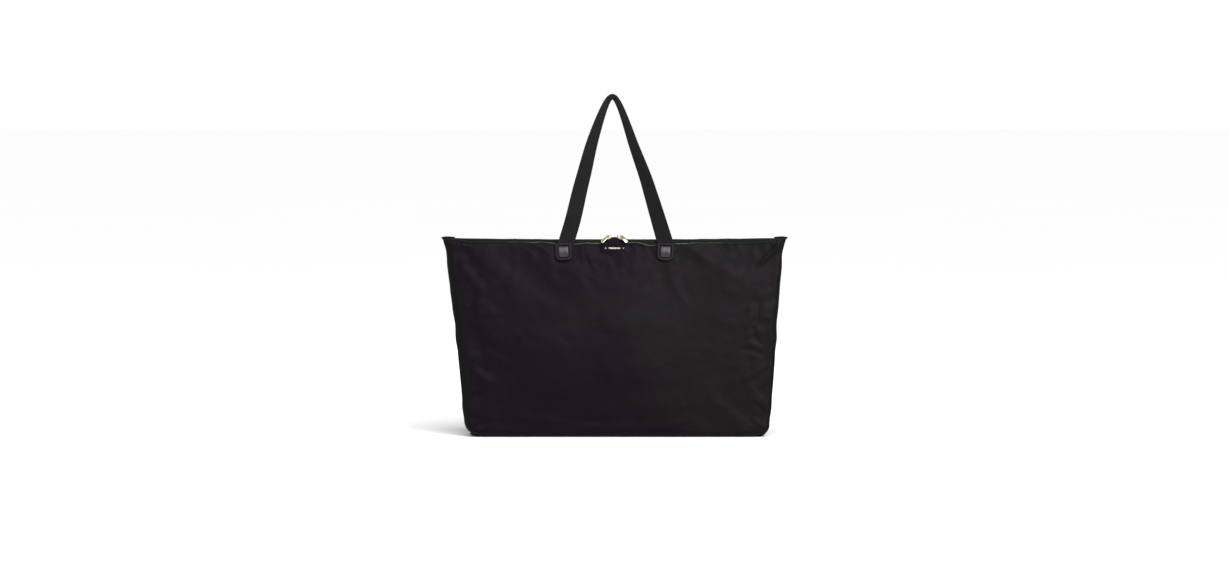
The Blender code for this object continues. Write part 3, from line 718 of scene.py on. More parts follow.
def wall_sheet(side):
    """Grid over one wall, round its side edges and its foot, and the tone of its edges."""
    flat = np.concatenate([np.linspace(0, 1, FLAT_COLUMNS + 1), np.ones(EDGE_COLUMNS)])
    turn = np.concatenate([np.zeros(FLAT_COLUMNS + 1),
                           np.arange(1, EDGE_COLUMNS + 1) / EDGE_COLUMNS * math.pi / 2])
    sign = np.concatenate([-np.ones(len(flat) - 1), np.ones(len(flat))])
    flat = np.concatenate([flat[:0:-1], flat])[None]
    turn = np.concatenate([turn[:0:-1], turn])[None]
    z, drawn_in = row_heights(FLAT_ROWS)
    seed = 5 if side == FRONT else 17
    waver = 0.0013 * lumps(z, 0 * z, 0.022, seed) * smooth((z - 0.010) / 0.02)
    hand = sign[None] * (1 if side == FRONT else -1)
    reach = half_width(z) + waver - foot_inset(z, hand)
    x = sign[None] * (flat * (reach - EDGE_ACROSS) + EDGE_ACROSS * np.sin(turn))
    back = np.minimum(EDGE_BACK, EDGE_BACK_SHARE * wall_depth(half_width(z), z))
    depth = wall_depth(x, z) - FOOT_ROUND * drawn_in - back * (1 - np.cos(turn))
    z = z + 0 * x
    near_end = smooth((np.abs(x) - 0.236) / 0.030) * smooth((z - 0.272) / 0.026)
    depth = depth - PINCH_AT_ENDS * near_end * np.cos(turn)
    lifted = seam_lift(x) * smooth((z - 0.240) / (WALL_TOP - 0.240))
    low_wave = 0.0008 * lumps(x, 0 * x, 0.045, seed + 2) * (1 - smooth((z - 0.004) / 0.03))
    sheet = np.stack([x, -depth, z + lifted + np.maximum(low_wave, -FLOOR_GAP / 2)], axis=-1)
    fade = smooth((z - 0.001) / 0.010) * (0.35 + 0.65 * smooth((WALL_TOP - z) / 0.008))
    lip_fade = 1 - 0.75 * np.sin(turn) ** 2
    relief = wall_relief(x, z, side) * trim_mask(x, z) * fade * lip_fade
    relief = relief + lined(x, z, side) * np.maximum(-0.0004 - relief, 0)
    sheet = sheet + grid_normals(sheet) * relief[..., None]
    tone = smooth((np.abs(x) - (half_width(z) - EDGE_ACROSS - 0.004)) / 0.004)
    return faced(side, sheet), tone


def make_walls():
    """Each wall as two halves that meet on the middle line, with the same normals there."""
    for side, name in SIDES:
        sheet, tone = wall_sheet(side)
        normals = grid_normals(sheet)
        for (half, half_name), columns in column_halves(side, sheet.shape[1]):
            part = cloth_piece(f"{name}_wall_{half_name}", sheet[:, columns], NYLON,
                               normals=normals[:, columns], tone=tone[:, columns])
            if half == LEFT:
                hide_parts(name + "_panel_lower", name + "_panel_upper")
            follow_rim(part)
        make_hem(side, name, sheet, normals)


HEM_HEIGHT = 0.0019
HEM_THICK = 0.0017


def make_hem(side, name, sheet, normals):
    """The rolled top hem, puckered by its seam, and the stitches under it."""
    top, out = sheet[-1], normals[-1]
    x = top[:, 0]
    wave = 0.00075 * lumps(x, 0 * x, 0.013, 61) + 0.0007 * lumps(x, 0 * x, 0.04, 62)
    up = everywhere(top, 0, 0, 1)
    centres = top + out * 0.0005 + up * (wave - 0.0006)[:, None]
    across = unit(np.cross(up, tangents(centres))) * -1
    below = sheet[-4] + normals[-4] * 0.00015
    section = oval(HEM_THICK / 2, HEM_HEIGHT / 2, 12)
    free = smooth((np.abs(np.abs(x) - PATCH_X) - 0.0125) / 0.004)
    free = free * (1 - 0.6 * smooth((np.abs(x) - 0.262) / 0.008))
    swell = 0.35 + (0.65 + 0.22 * lumps(x, 0 * x, 0.007, 63)) * free
    for (half, half_name), columns in column_halves(side, len(top)):
        points, faces, cloth = sweep(centres[columns], across[columns], up[columns], section,
                                     swell[columns])
        hem = make_piece(f"{name}_hem_{half_name}", points, faces, HEM_CLOTH, cloth)
        follow_rim(hem)
        points, faces, cloth = stitches(below[columns], normals[-4][columns])
        seam = make_piece(f"{name}_hem_stitches_{half_name}", points, faces, THREAD, cloth)
        follow_rim(seam)


# ---- Gussets and base ---------------------------------------------------------------------------

GUSSET_INSET = 0.0008
GUSSET_OVERLAP = 0.0045
GUSSET_TUCK = 0.0105
SEAM_BINDING_WIDTH = 0.0085
GUSSET_ROWS = 90
GUSSET_COLUMNS = 61
CLOSING_RISES = (0.0016, 0.0030, 0.0040, 0.0046)
CLOSING_INSETS = (0.0012, 0.0032, 0.0060, 0.0092)

BASE_ROWS = 28
BASE_COLUMNS = 121


def gusset_edge(z):
    """How far from the middle the gusset reaches at a height, under the walls' turned edges."""
    depth = wall_depth(half_width(z), z)
    return depth - np.minimum(EDGE_BACK, EDGE_BACK_SHARE * depth)


def make_gussets():
    """Side panels with a fold line down the middle, closed over at the top below the zip's end."""
    for half, name in HALVES:
        z, drawn_in = row_heights(GUSSET_ROWS, CLOSING_RISES)
        closing = np.concatenate([np.zeros(FOOT_ROWS + GUSSET_ROWS), CLOSING_INSETS])[:, None]
        share = np.linspace(-1, 1, GUSSET_COLUMNS)[None]
        low = np.minimum(z, WALL_TOP)
        edge = gusset_edge(low) + np.minimum(GUSSET_OVERLAP, 0.5 * EDGE_BACK_SHARE * 0.012)
        edge = edge - FOOT_ROUND * drawn_in * 0.5 - 1.3 * PINCH_AT_ENDS * smooth((z - 0.262) / 0.026)
        rise = np.clip(z / WALL_TOP, 0, 1)
        tuck = GUSSET_TUCK * np.sin(math.pi * np.clip(rise * 1.08, 0, 1)) ** 0.7
        inward = tuck * (1 - np.abs(share)) ** 1.25
        wrinkle = 0.0012 * lumps(share * edge, z, 0.030, 41 + half)
        wrinkle = wrinkle + 0.0005 * lumps(share * edge, z, 0.011, 43)
        wrinkle = wrinkle * (1 - np.abs(share) ** 6) * (1 - smooth((z - 0.255) / 0.030))
        inset = GUSSET_INSET + 0.0020 * smooth((z - 0.270) / 0.020)
        x = half_width(low) - foot_inset(z, half) - inset - inward - closing + wrinkle
        y = share * edge * np.where(z > WALL_TOP, 0.9, 1.0)
        lifted = (seam_lift(zip_tape_high.x) - 0.0012) * smooth((z - 0.250) / (WALL_TOP - 0.250))
        sheet = grid_points(x, y, z + lifted)
        if half == LEFT:
            sheet = turned(sheet)
        tone = np.full(sheet.shape[:2], 0.85)
        part = cloth_piece(f"gusset_{name}", sheet, NYLON, tone=tone)
        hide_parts(name + "_gusset")
        fold_flat(part)
        make_seam_bindings(half, name)


def strip(name, path, outward, width, material):
    """A flat tape with soft round edges along a path."""
    across = unit(np.cross(outward, tangents(path)))
    points, faces, cloth = sweep(path, across, outward, bar(width, 0.0008, 0.00035))
    return make_piece(name, points, faces, material, cloth)


def make_seam_bindings(half, name):
    """Bound seams inside the bag, where a gusset meets the walls."""
    for side, side_name in SIDES:
        low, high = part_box(f"{name}_{side_name}_seam_binding")
        z = np.linspace(low.z, high.z, 60)
        near_top = smooth((z - 0.255) / 0.030)
        y = side * (gusset_edge(z) - 0.0030 - 0.0016 * near_top)
        x = half * (half_width(z) - 0.0052 - 0.0060 * near_top)
        path = np.stack([x, y, z], axis=-1)
        part = strip(f"seam_binding_{name}_{side_name}", path, everywhere(path, -half, 0, 0),
                     SEAM_BINDING_WIDTH, BINDING)
        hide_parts(f"{name}_{side_name}_seam_binding")
        fold_flat(part)


def make_base():
    """The floor of the bag, in two halves, built lying flat."""
    for side, name in SIDES:
        share = np.linspace(0, 1, BASE_ROWS)[:, None]
        x = np.linspace(-1, 1, BASE_COLUMNS)[None]
        reach_y = FOOT_DEPTH - FOOT_ROUND * 0.55
        hand = x if side == BACK else -x
        reach_x = half_width(0.0) - FOOT_ACROSS * 0.60 * np.where(hand < 0, LEFT_FOOT_SLACK, 1.0)
        y = share * reach_y
        across = x * reach_x
        edge_lift = 0.0012 * smooth((np.abs(x) - 0.965) / 0.035) + 0.0012 * smooth((share - 0.93) / 0.07)
        z = 0.0004 + edge_lift + 0.0004 * (1 + lumps(across, y, 0.05, 71))
        sheet = grid_points(across, y, z)
        if side == FRONT:
            sheet = turned(sheet)
        part = cloth_piece(f"base_{name}", sheet, NYLON, thickness=-0.0011,
                           normals=grid_normals(sheet))
        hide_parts("base_panel")
        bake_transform(part)
        low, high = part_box(name + "_base_binding")
        run = np.linspace(low.x, high.x, 90)
        height = (low.z + high.z) / 2
        path = np.stack([run, side * (wall_depth(run, height) - 0.0022), np.full(90, height)], axis=-1)
        binding = strip(f"base_binding_{name}", path, everywhere(path, 0, -side, 0),
                        high.z - low.z - 0.0006, BINDING)
        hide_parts(name + "_base_binding")
        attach(binding, name + "_wall")
    for _, name in HALVES:
        low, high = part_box(name + "_base_binding")
        run = np.linspace(low.y, high.y, 40)
        path = np.stack([np.full(40, (low.x + high.x) / 2), run, np.full(40, high.z)], axis=-1)
        binding = strip(f"base_binding_{name}", path, everywhere(path, 0, 0, 1),
                        high.x - low.x, BINDING)
        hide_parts(name + "_base_binding")
        fold_flat(binding)


# ---- The zip ------------------------------------------------------------------------------------

COIL_PITCH = 0.0013
COIL_WIRE = 0.00030
COIL_HEAD = -0.0002
COIL_REACH = 0.0032
COIL_STEPS = 9
POCKET_COIL_STEPS = 7
TAPE_FOOT = 0.2960
TAIL_WIDTH = 0.0122
TAIL_THICK = 0.0042
TAIL_CORNER = 0.0016
TAIL_SEAM = 0.0044


def coil_piece(name, path):
    """A coil's wire, swept along its turns."""
    along = tangents(path)
    up = unit(np.cross(along, np.cross(np.array([1.0, 0.0, 0.0]), along)))
    points, faces, cloth = sweep(path, unit(np.cross(along, up)), up, oval(COIL_WIRE, COIL_WIRE, 5))
    return make_piece(name, points, faces, COIL, cloth, sharp=80)


def make_zip():
    """Tape and coil of both sides, each in two halves."""
    for side, name in SIDES:
        for half, half_name in HALVES:
            run = half if side == FRONT else -half
            x = np.linspace(0, run * zip_tape_high.x, 150)
            x = x if run > 0 else x[::-1]
            make_tape(side, name, half, half_name, x)
            make_coil(side, name, half, half_name, run)


def make_tape(side, name, half, half_name, x):
    """Zip tape: a shelf beside the coil that turns down inside the wall's top edge."""
    shelf_in, shelf_out, hang = 0.0030, 0.0066, 0.0078
    bend = np.linspace(0, math.pi / 2, 5)
    height = zip_tape_high.z
    profile = [(hang, TAPE_FOOT), (hang - 0.0004, 0.3010), (hang - 0.0007, 0.3050)]
    profile += [(shelf_out - 0.0010 + 0.0014 * math.cos(b), height - 0.0014 + 0.0014 * math.sin(b))
                for b in bend]
    profile += [(0.0048, height + 0.0001), (shelf_in, height)]
    rows = []
    for depth, z in profile:
        above = smooth((z - 0.300) / 0.009) * smooth((depth - shelf_in) / 0.0030)
        wave = 0.00045 * lumps(x, 0 * x, 0.020, 81 + side) * above
        rows.append(np.stack([x, -depth + 0.6 * wave, z + (zip_lift(x) + wave) * above], axis=-1))
    sheet = faced(side, np.array(rows))
    part = cloth_piece(f"{name}_zip_tape_{half_name}", sheet, TAPE, 0.0007)
    if half == LEFT:
        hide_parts(name + "_zip_tape")
    follow_rim(part)


def make_coil(side, name, half, half_name, run):
    """The coil of one side: flattened turns whose heads mesh with the other side's."""
    turns = int(coil_high.x / COIL_PITCH)
    turn = np.arange(turns * COIL_STEPS) / COIL_STEPS
    offset = 0.25 if side == FRONT else 0.75
    x = run * (turn + offset) * COIL_PITCH
    angle = turn * 2 * math.pi
    y = -(COIL_HEAD + (COIL_REACH - COIL_HEAD) / 2 * (1 + np.cos(angle)))
    z = ZIP_HEIGHT + 0.00075 * np.sin(angle)
    part = coil_piece(f"{name}_zip_coil_{half_name}", faced(side, np.stack([x, y, z], axis=-1)))
    if half == LEFT:
        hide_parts(name + "_zip_coil")
    follow_rim(part)


def make_end_tabs():
    """Folded tape tails that close each end of the zip and stand out past the bag."""
    for half, name in HALVES:
        start, end = zip_tape_high.x - 0.0065, end_tab_high.x + 0.0012
        t = np.linspace(0, 1, 26)
        x = start + (end - start) * t
        z = ZIP_HEIGHT + zip_lift(start) + 0.0002 + 0.0016 * np.sin(2.1 * t) - 0.0006 * t
        path = np.stack([half * x, 0 * x, z], axis=-1)
        along = tangents(path)
        across = everywhere(path, 0, -half, 0)
        taper = 1 - 0.50 * t ** 3
        up = unit(np.cross(along, across))
        points, faces, cloth = sweep(path, across, up, bar(TAIL_WIDTH, TAIL_THICK, TAIL_CORNER), taper)
        part = make_piece(f"zip_tail_{name}", points, faces, TAIL_CLOTH, cloth)
        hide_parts("zip_end_tab_" + name)
        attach(part, "bag_base")
        rim = path + up * (TAIL_THICK / 2 * taper)[:, None]
        lines = [stitches((rim + across * (edge * taper)[:, None])[2:20], up[2:20], 0.0016, 0.0008, 0.00022)
                 for edge in (-TAIL_SEAM, TAIL_SEAM)]
        points, faces, cloth = joined(lines)
        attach(make_piece(f"zip_tail_stitches_{name}", points, faces, THREAD, cloth), "bag_base")


# ---- Handles ------------------------------------------------------------------------------------

STRAP_WIDTH = 0.0254
STRAP_THICK = 0.0018
STRAP_FOOT = 0.2880
HANDLE_SPREAD = 3.4
APEX_ROUND = 0.0138
APEX_DEPTH = 0.0138
APEX_TWIST = 72
HANDLE_LEAN = 0.0034
LEFT_FOOT_SHIFT = 0.0040


def strap_span(z):
    """Half the distance between the handle's legs at a height."""
    fall = (strap_high.z - STRAP_THICK / 2 - z) / HANDLE_SPREAD + APEX_ROUND
    return np.sqrt(np.maximum(fall ** 2 - APEX_ROUND ** 2, 0))


def strap_path(side, steps=150):
    """Centreline from the left foot over the top to the right foot, and the strap's twist.

    The handle leans a little to the left, and its right leg twists sooner. Seen from the front, the
    back handle leans the same way, so its legs swap before it is turned round.
    """
    top = strap_high.z - STRAP_THICK / 2
    z = top - (top - STRAP_FOOT) * (1 - np.linspace(0, 1, steps)) ** 2
    span = strap_span(z)
    climb = np.clip((z - HINGE_HEIGHT) / (top - HINGE_HEIGHT), 0, 1)
    near_wall = wall_depth(span, np.minimum(z, WALL_TOP)) + 0.0013 + 0.0006 * smooth((z - 0.298) / 0.005)
    free = HINGE_DEPTH + (APEX_DEPTH - HINGE_DEPTH) * climb
    leave = smooth((z - WALL_TOP) / 0.045)
    y = -(near_wall * (1 - leave) + free * leave)
    lean = HANDLE_LEAN * smooth((z - 0.395) / 0.080)
    left_x = -span - lean + LEFT_FOOT_SHIFT * (1 - smooth((z - 0.330) / 0.080))
    right_x = span - lean
    left_twist, right_twist = climb ** 1.2, climb ** 0.72
    if side == BACK:
        left_x, right_x = -right_x, -left_x
        left_twist, right_twist = right_twist, left_twist
    left = np.stack([left_x, y, z], axis=-1)
    right = np.stack([right_x, y, z], axis=-1)
    path = np.concatenate([left, right[-2::-1]])
    twist = np.concatenate([left_twist, right_twist[-2::-1]]) * math.radians(APEX_TWIST)
    return path, twist


def strap_section():
    """Webbing seen end on: a flat face between thin raised edge bands."""
    outline = bar(STRAP_WIDTH, STRAP_THICK, 0.0007, 2)
    half = STRAP_WIDTH / 2
    face = np.linspace(-1, 1, 15)[1:-1] * (half - 0.0009)
    lift = np.where(np.abs(face) > half - 0.0030, STRAP_THICK / 2, STRAP_THICK / 2 - 0.00028)
    top = np.stack([face[::-1], lift[::-1]], axis=-1)
    bottom = np.stack([face, -lift], axis=-1)
    quarter = len(outline) // 4
    return np.concatenate([outline[:quarter], top, outline[quarter:3 * quarter], bottom,
                           outline[3 * quarter:]])


def make_handles():
    """Webbing handles that twist from flat on the wall to edge-on at the top."""
    for side, name in SIDES:
        path, twist = strap_path(side)
        along = tangents(path)
        out = square_to(along, everywhere(path, 0, -1, 0))
        wide = unit(np.cross(out, along))
        cos, sin = np.cos(twist)[:, None], np.sin(twist)[:, None]
        across = wide * cos + out * sin
        facing = unit(np.cross(along, across))
        points, faces, cloth = sweep(path, across, facing, strap_section())
        part = make_piece(name + "_handle_webbing", faced(side, points), faces, WEBBING, cloth)
        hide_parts(name + "_handle_strap")
        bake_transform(part)


# ---- Patches, tab and plate ---------------------------------------------------------------------


def rounded_outline(width, height, foot_round, head_round, corner_steps=7, side_steps=0):
    """An upright rectangle with round corners, anticlockwise from the lower right one, and with
    side_steps more points along each straight side."""
    corners = ((1, -1, foot_round, -90), (1, 1, head_round, 0),
               (-1, 1, head_round, 90), (-1, -1, foot_round, 180))
    found = []
    for right, up, radius, begin in corners:
        for step in range(corner_steps + 1):
            turn = math.radians(begin + 90 * step / corner_steps)
            found.append((right * (width / 2 - radius) + radius * math.cos(turn),
                          up * (height / 2 - radius) + radius * math.sin(turn)))
    found = np.array(found)
    if not side_steps:
        return found
    filled = []
    for number, corner in enumerate(np.split(found, 4)):
        following = found[(number + 1) * (corner_steps + 1) % len(found)]
        share = np.arange(1, side_steps + 1)[:, None] / (side_steps + 1)
        filled += [corner, corner[-1] * (1 - share) + following * share]
    return np.concatenate(filled)


def relief_plate(rings):
    """A plate from (outline, lift) rings, from its back edge over its face to its middle."""
    around = len(rings[0][0])
    points = np.concatenate([np.column_stack([outline, np.full(around, lift)]) for outline, lift in rings])
    faces = [list(f) for f in grid_faces(len(rings), around, wrap=True)]
    faces.append(list(range(around))[::-1])
    last = (len(rings) - 1) * around
    middle = len(points)
    points = np.concatenate([points, [[0.0, rings[-1][0][:, 1].mean(), rings[-1][1]]]])
    faces += [[last + k, last + (k + 1) % around, middle] for k in range(around)]
    return points, faces


def wall_placer(x, z, lean=0.0):
    """A function that lays (across, up, lift) points onto the front wall round a point."""
    step = 0.001
    slope = -(wall_depth(x, z + step) - wall_depth(x, z - step)) / (2 * step)
    up = unit(np.array([0.0, slope, 1.0]))
    across = np.array([1.0, 0.0, 0.0])
    out = np.cross(across, up)
    cos, sin = math.cos(lean), math.sin(lean)
    origin = np.array([x, -wall_depth(x, z), z])

    def place(points):
        u = points[:, 0] * cos - points[:, 1] * sin
        v = points[:, 0] * sin + points[:, 1] * cos
        return origin + u[:, None] * across + v[:, None] * up + points[:, 2:3] * out

    return place, out


PATCH_WIDTH = 0.0262
PATCH_HEIGHT = 0.0286
PATCH_FOOT_ROUND = 0.0082
PATCH_HEAD_ROUND = 0.0022
PAD_WIDTH = 0.0160
PAD_HEIGHT = 0.0186
PAD_FOOT_ROUND = 0.0026
PAD_HEAD_ROUND = 0.0012
PAD_CROWN = 0.0022


def patch_rings():
    """Skived edge, raised rim and the stitched groove inside it."""
    profile = ((0.0000, 0.0004), (0.0000, 0.0030), (0.0002, 0.0035), (0.0008, 0.0039), (0.0018, 0.0040),
               (0.0028, 0.0038), (0.0034, 0.0029), (0.0038, 0.0016), (0.0044, 0.0014), (0.0060, 0.0015))
    rings = []
    for inset, lift in profile:
        outline = rounded_outline(PATCH_WIDTH - 2 * inset, PATCH_HEIGHT - 2 * inset,
                                  max(PATCH_FOOT_ROUND - inset, 0.0008),
                                  max(PATCH_HEAD_ROUND - inset, 0.0005))
        rings.append((outline, lift))
    return rings


def pad_rings():
    """The raised inner pad: soft shoulders and a slightly crowned face."""
    profile = ((0.0000, 0.0013), (0.0000, 0.0031), (0.0002, 0.0035), (0.0006, 0.0038), (0.0012, 0.0040),
               (0.0022, 0.00405), (0.0036, 0.0041), (0.0050, 0.0041), (0.0062, 0.0041), (0.0074, 0.0041))
    rings = []
    for inset, lift in profile:
        outline = rounded_outline(PAD_WIDTH - 2 * inset, PAD_HEIGHT - 2 * inset,
                                  max(PAD_FOOT_ROUND - inset, 0.0006), max(PAD_HEAD_ROUND - inset, 0.0005),
                                  side_steps=9)
        rings.append((outline, lift))
    return rings


def crowned(points, height, crown):
    """Points of a relief, with its face arched from its foot to its head."""
    arch = crown * (1 - np.clip(2 * points[:, 1] / height, -1, 1) ** 2)
    return points + np.column_stack([np.zeros((len(points), 2)), arch])


def make_patches():
    """Leather patches that hold the handles' feet, with their pads and stitches."""
    centre_z = PATCH_Z - 0.0006
    for side, name in SIDES:
        for half, half_name in HALVES:
            run = half if side == FRONT else -half
            place, out = wall_placer(run * PATCH_X, centre_z, -run * math.radians(2.5))
            body = name + "_rim"
            node = f"{name}_{half_name}_anchor"
            points, faces = relief_plate(patch_rings())
            patch = make_piece(node + "_patch", faced(side, place(points)), faces, LEATHER)
            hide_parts(node)
            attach(patch, body)
            points, faces = relief_plate(pad_rings())
            points = crowned(points, PAD_HEIGHT, PAD_CROWN)
            pad = make_piece(node + "_inset", faced(side, place(points)), faces, PAD_LEATHER)
            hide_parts(node + "_pad")
            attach(pad, body)
            loop = rounded_outline(PATCH_WIDTH - 0.0064, PATCH_HEIGHT - 0.0064, 0.0052, 0.0008)
            loop = np.concatenate([loop, loop[:1]])
            path = faced(side, place(np.column_stack([loop, np.full(len(loop), 0.0030)])))
            away = faced(side, np.broadcast_to(out, path.shape))
            points, faces, cloth = stitches(path, away, 0.0019, 0.0008, 0.00026)
            seam = make_piece(node + "_stitches", points, faces, THREAD, cloth)
            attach(seam, body)


def tab_outline(radius, skirt, steps=24):
    """A half disc on a short skirt, anticlockwise from the skirt's lower right corner."""
    turn = np.linspace(0, math.pi, steps)
    arc = np.stack([radius * np.cos(turn), radius * np.sin(turn)], axis=-1)
    foot = np.array([[-radius * 0.5, -skirt], [0.0, -skirt], [radius * 0.5, -skirt], [radius, -skirt]])
    return np.concatenate([arc, [[-radius, -skirt]], foot])


def make_centre_trim():
    """The domed tab in front of the sliders, the blank plate below it and its studs."""
    radius = (tab_high.x - tab_low.x) / 2
    foot = tab_low.z
    centre = tab_high.z - radius
    skirt = centre - foot
    rings = []
    middle = np.array([0.0, (radius - skirt) / 2])
    for inset, lift in ((0.0, 0.0), (0.0, 0.0012), (0.0003, 0.0018), (0.0009, 0.0022), (0.0014, 0.0020),
                        (0.0022, 0.0019), (0.0042, 0.0023), (0.0064, 0.0026)):
        outline = tab_outline(radius, skirt)
        rings.append((middle + (outline - middle) * (1 - inset / (radius * 0.8)), lift))
    points, faces = relief_plate(rings)
    y = tab_high.y
    placed = np.column_stack([points[:, 0], y + 0.0004 - points[:, 2], centre + points[:, 1]])
    tab = make_piece("centre_tab_leather", placed, faces, TAB_LEATHER)
    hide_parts("centre_tab")
    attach(tab, "front_rim")
    loop = tab_outline(radius - 0.0017, skirt - 0.0017)[:25]
    path = np.column_stack([loop[:, 0], np.full(len(loop), y - 0.0016), centre + loop[:, 1]])
    points, faces, cloth = stitches(path, everywhere(path, 0, -1, 0), 0.0016, 0.0007, 0.00022)
    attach(make_piece("centre_tab_stitches", points, faces, THREAD, cloth), "front_rim")
    make_plate()


PLATE_HEIGHT = 0.0031
PLATE_LIFT = 0.0026


def make_plate():
    """The nameplate, left blank: a bevelled bar with a fine raised border, held by two domed studs."""
    width = plate_high.x - plate_low.x
    middle_z = (plate_low.z + plate_high.z) / 2
    place, _ = wall_placer(0.0, middle_z)
    rings = []
    for inset, lift in ((0, -0.0020), (0, 0), (0.0003, 0.0004), (0.0006, 0.0004),
                        (0.0008, 0.0002), (0.0014, 0.0002)):
        corner = max(0.0008 - inset, 0.0002)
        outline = rounded_outline(width - 2 * inset, PLATE_HEIGHT - 2 * inset, corner, corner, 4)
        rings.append((outline, PLATE_LIFT + lift))
    points, faces = relief_plate(rings)
    plate = make_piece("blank_plate", place(points), faces, PLATE_GOLD)
    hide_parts("nameplate")
    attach(plate, "front_rim")
    for half, name in HALVES:
        place, _ = wall_placer(half * (stud_low.x + stud_high.x) / 2, middle_z)
        turn = np.linspace(0, 2 * math.pi, 20, endpoint=False)
        circle = np.stack([np.cos(turn), np.sin(turn)], axis=-1)
        size = (stud_high.x - stud_low.x) / 2 + 0.0002
        rings = [(circle * size * r, h) for r, h in ((1.0, 0.0006), (1.0, 0.0020), (0.94, 0.0024),
                                                      (0.80, 0.0028), (0.55, 0.0032), (0.25, 0.0034))]
        points, faces = relief_plate(rings)
        stud = make_piece(f"plate_stud_{name}", place(points), faces, PLATE_GOLD)
        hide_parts("nameplate_stud_" + name)
        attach(stud, "front_rim")


# ---- Sliders and pulls --------------------------------------------------------------------------


def soften(node, material, width):
    """A CAD node that is shown as it is, with eased edges and its own material."""
    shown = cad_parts[node]
    shown.data.materials.clear()
    shown.data.materials.append(material)
    shown.data.shade_smooth()
    shown.data.set_sharp_from_angle(angle=math.radians(35))
    ease = shown.modifiers.new("eased_edges", "BEVEL")
    ease.width = width
    ease.segments = 2
    ease.limit_method = "ANGLE"
    ease.harden_normals = False


ARM_WIDTH = 0.0060
ARM_THICK = 0.0019
ARM_CORNER = 0.0008
ARM_STEPS = 40
ARM_SOFTENING = 24


def make_pulls():
    """Gold arms that lie over the front edge, one each side of the tab."""
    for half, name in HALVES:
        soften(f"slider_{name}_body", GOLD, 0.00025)
        # The crowns take the darker copy of the gold: painted shade.
        soften(f"slider_{name}_crown", PAINTED_SHADE_GOLD, 0.00010)
        # The arm's middle line, from its crown to its tip.
        knots = np.array([(0.0086, -0.0034, 0.3158), (0.0098, -0.0050, 0.3158), (0.0114, -0.0072, 0.3144),
                          (0.0146, -0.0110, 0.3112), (0.0182, -0.0134, 0.3076), (0.0206, -0.0142, 0.3050)])
        t = np.linspace(0, len(knots) - 1, ARM_STEPS)
        path = np.stack([np.interp(t, np.arange(len(knots)), knots[:, k]) for k in range(3)], axis=-1)
        for _ in range(ARM_SOFTENING):
            path[1:-1] = (path[:-2] + 2 * path[1:-1] + path[2:]) / 4
        path[:, 0] *= half
        along = tangents(path)
        face = square_to(along, unit(everywhere(path, half * 0.35, -0.80, 0.48)))
        across = unit(np.cross(along, face)) * -1
        share = np.linspace(0, 1, len(path))
        past = np.maximum(share - 0.90, 0) / 0.10 + np.maximum(0.08 - share, 0) / 0.08
        ends = np.sqrt(np.clip(1 - past ** 2, 0.02, 1))
        wide = (0.42 + 0.58 * smooth(share / 0.45)) * ends
        points, faces, cloth = sweep(path, across, face, bar(ARM_WIDTH, ARM_THICK, ARM_CORNER), wide)
        arm = make_piece(f"pull_arm_{name}", points, faces, GOLD, cloth)
        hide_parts("pull_" + name)
        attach(arm, name + "_pull")


# ---- Inside: the stow pocket --------------------------------------------------------------------

POCKET_ROWS = 70
POCKET_COLUMNS = 60
POCKET_TAPE_POINTS = 90
POCKET_TAPE_WIDTH = 0.0056
POCKET_GAP = 0.0012


def inner_depth(x, z):
    """How far the pocket's cloth stands from the middle of the bag, clear of the wall's own relief."""
    return wall_depth(x, z) - CLOTH - POCKET_GAP


def make_pocket():
    """The pocket on the back wall that the folded bag goes into."""
    half_span = pocket_high.x
    low, high = pocket_low.z, pocket_high.z
    share_x = np.linspace(0, 1, POCKET_COLUMNS)
    share_z = np.linspace(0, 1, POCKET_ROWS)[:, None]
    for half, name in HALVES:
        x = half * half_span * share_x[None]
        x = x if half < 0 else x[:, ::-1]
        z = low + (high - low) * share_z
        out = np.minimum(1, 6 * (1 - np.abs(x) / half_span)) * np.minimum(1, 5 * share_z)
        lift = 0.0014 + 0.0055 * smooth(out) + 0.0010 * lumps(x, z, 0.022, 91)
        gather = 0.0010 * np.sin(x * 700 + 3 * lumps(x, 0 * z, 0.02, 92)) * smooth((share_z - 0.78) / 0.22)
        lift = lift + gather * smooth(out)
        sheet = grid_points(x, inner_depth(x, z) - lift, z)
        sheet = sheet[:, ::-1] if half < 0 else sheet
        sheet = sheet[:, ::-1] if np.mean(grid_normals(sheet)[..., 1]) > 0 else sheet
        part = cloth_piece(f"stow_pocket_{name}", sheet, LINING)
        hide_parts("stow_pocket")
        follow_rim(part)
    make_pocket_zip()


def make_pocket_zip():
    """Tape, coil, slider and pull of the pocket's mouth."""
    middle = (pocket_coil_low.z + pocket_coil_high.z) / 2
    run = np.linspace(-pocket_tape_high.x, pocket_tape_high.x, POCKET_TAPE_POINTS)
    for number, offset in (("lower", -0.0036), ("upper", 0.0036)):
        z = middle + offset
        path = grid_points(run, inner_depth(run, z) - 0.0012, z)
        tape = strip(f"pocket_tape_{number}", path, unit(everywhere(path, 0, -1, 0.25)),
                     POCKET_TAPE_WIDTH, TAPE)
        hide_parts("pocket_zip_tape")
        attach(tape, "back_rim")
    turns = int(2 * pocket_coil_high.x / COIL_PITCH)
    turn = np.arange(turns * POCKET_COIL_STEPS) / POCKET_COIL_STEPS
    x = -pocket_coil_high.x + turn * COIL_PITCH
    depth = (pocket_coil_low.y + pocket_coil_high.y) / 2
    y = depth + 0.0006 * np.sin(turn * 2 * math.pi)
    z = middle + 0.0012 * np.cos(turn * 2 * math.pi)
    coil = coil_piece("pocket_coil_turns", np.stack([x, y, z], axis=-1))
    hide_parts("pocket_zip_coil")
    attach(coil, "back_rim")
    soften("pocket_slider_body", GOLD, 0.0003)
    soften("pocket_pull", GOLD, 0.0003)


# ---- Stage --------------------------------------------------------------------------------------

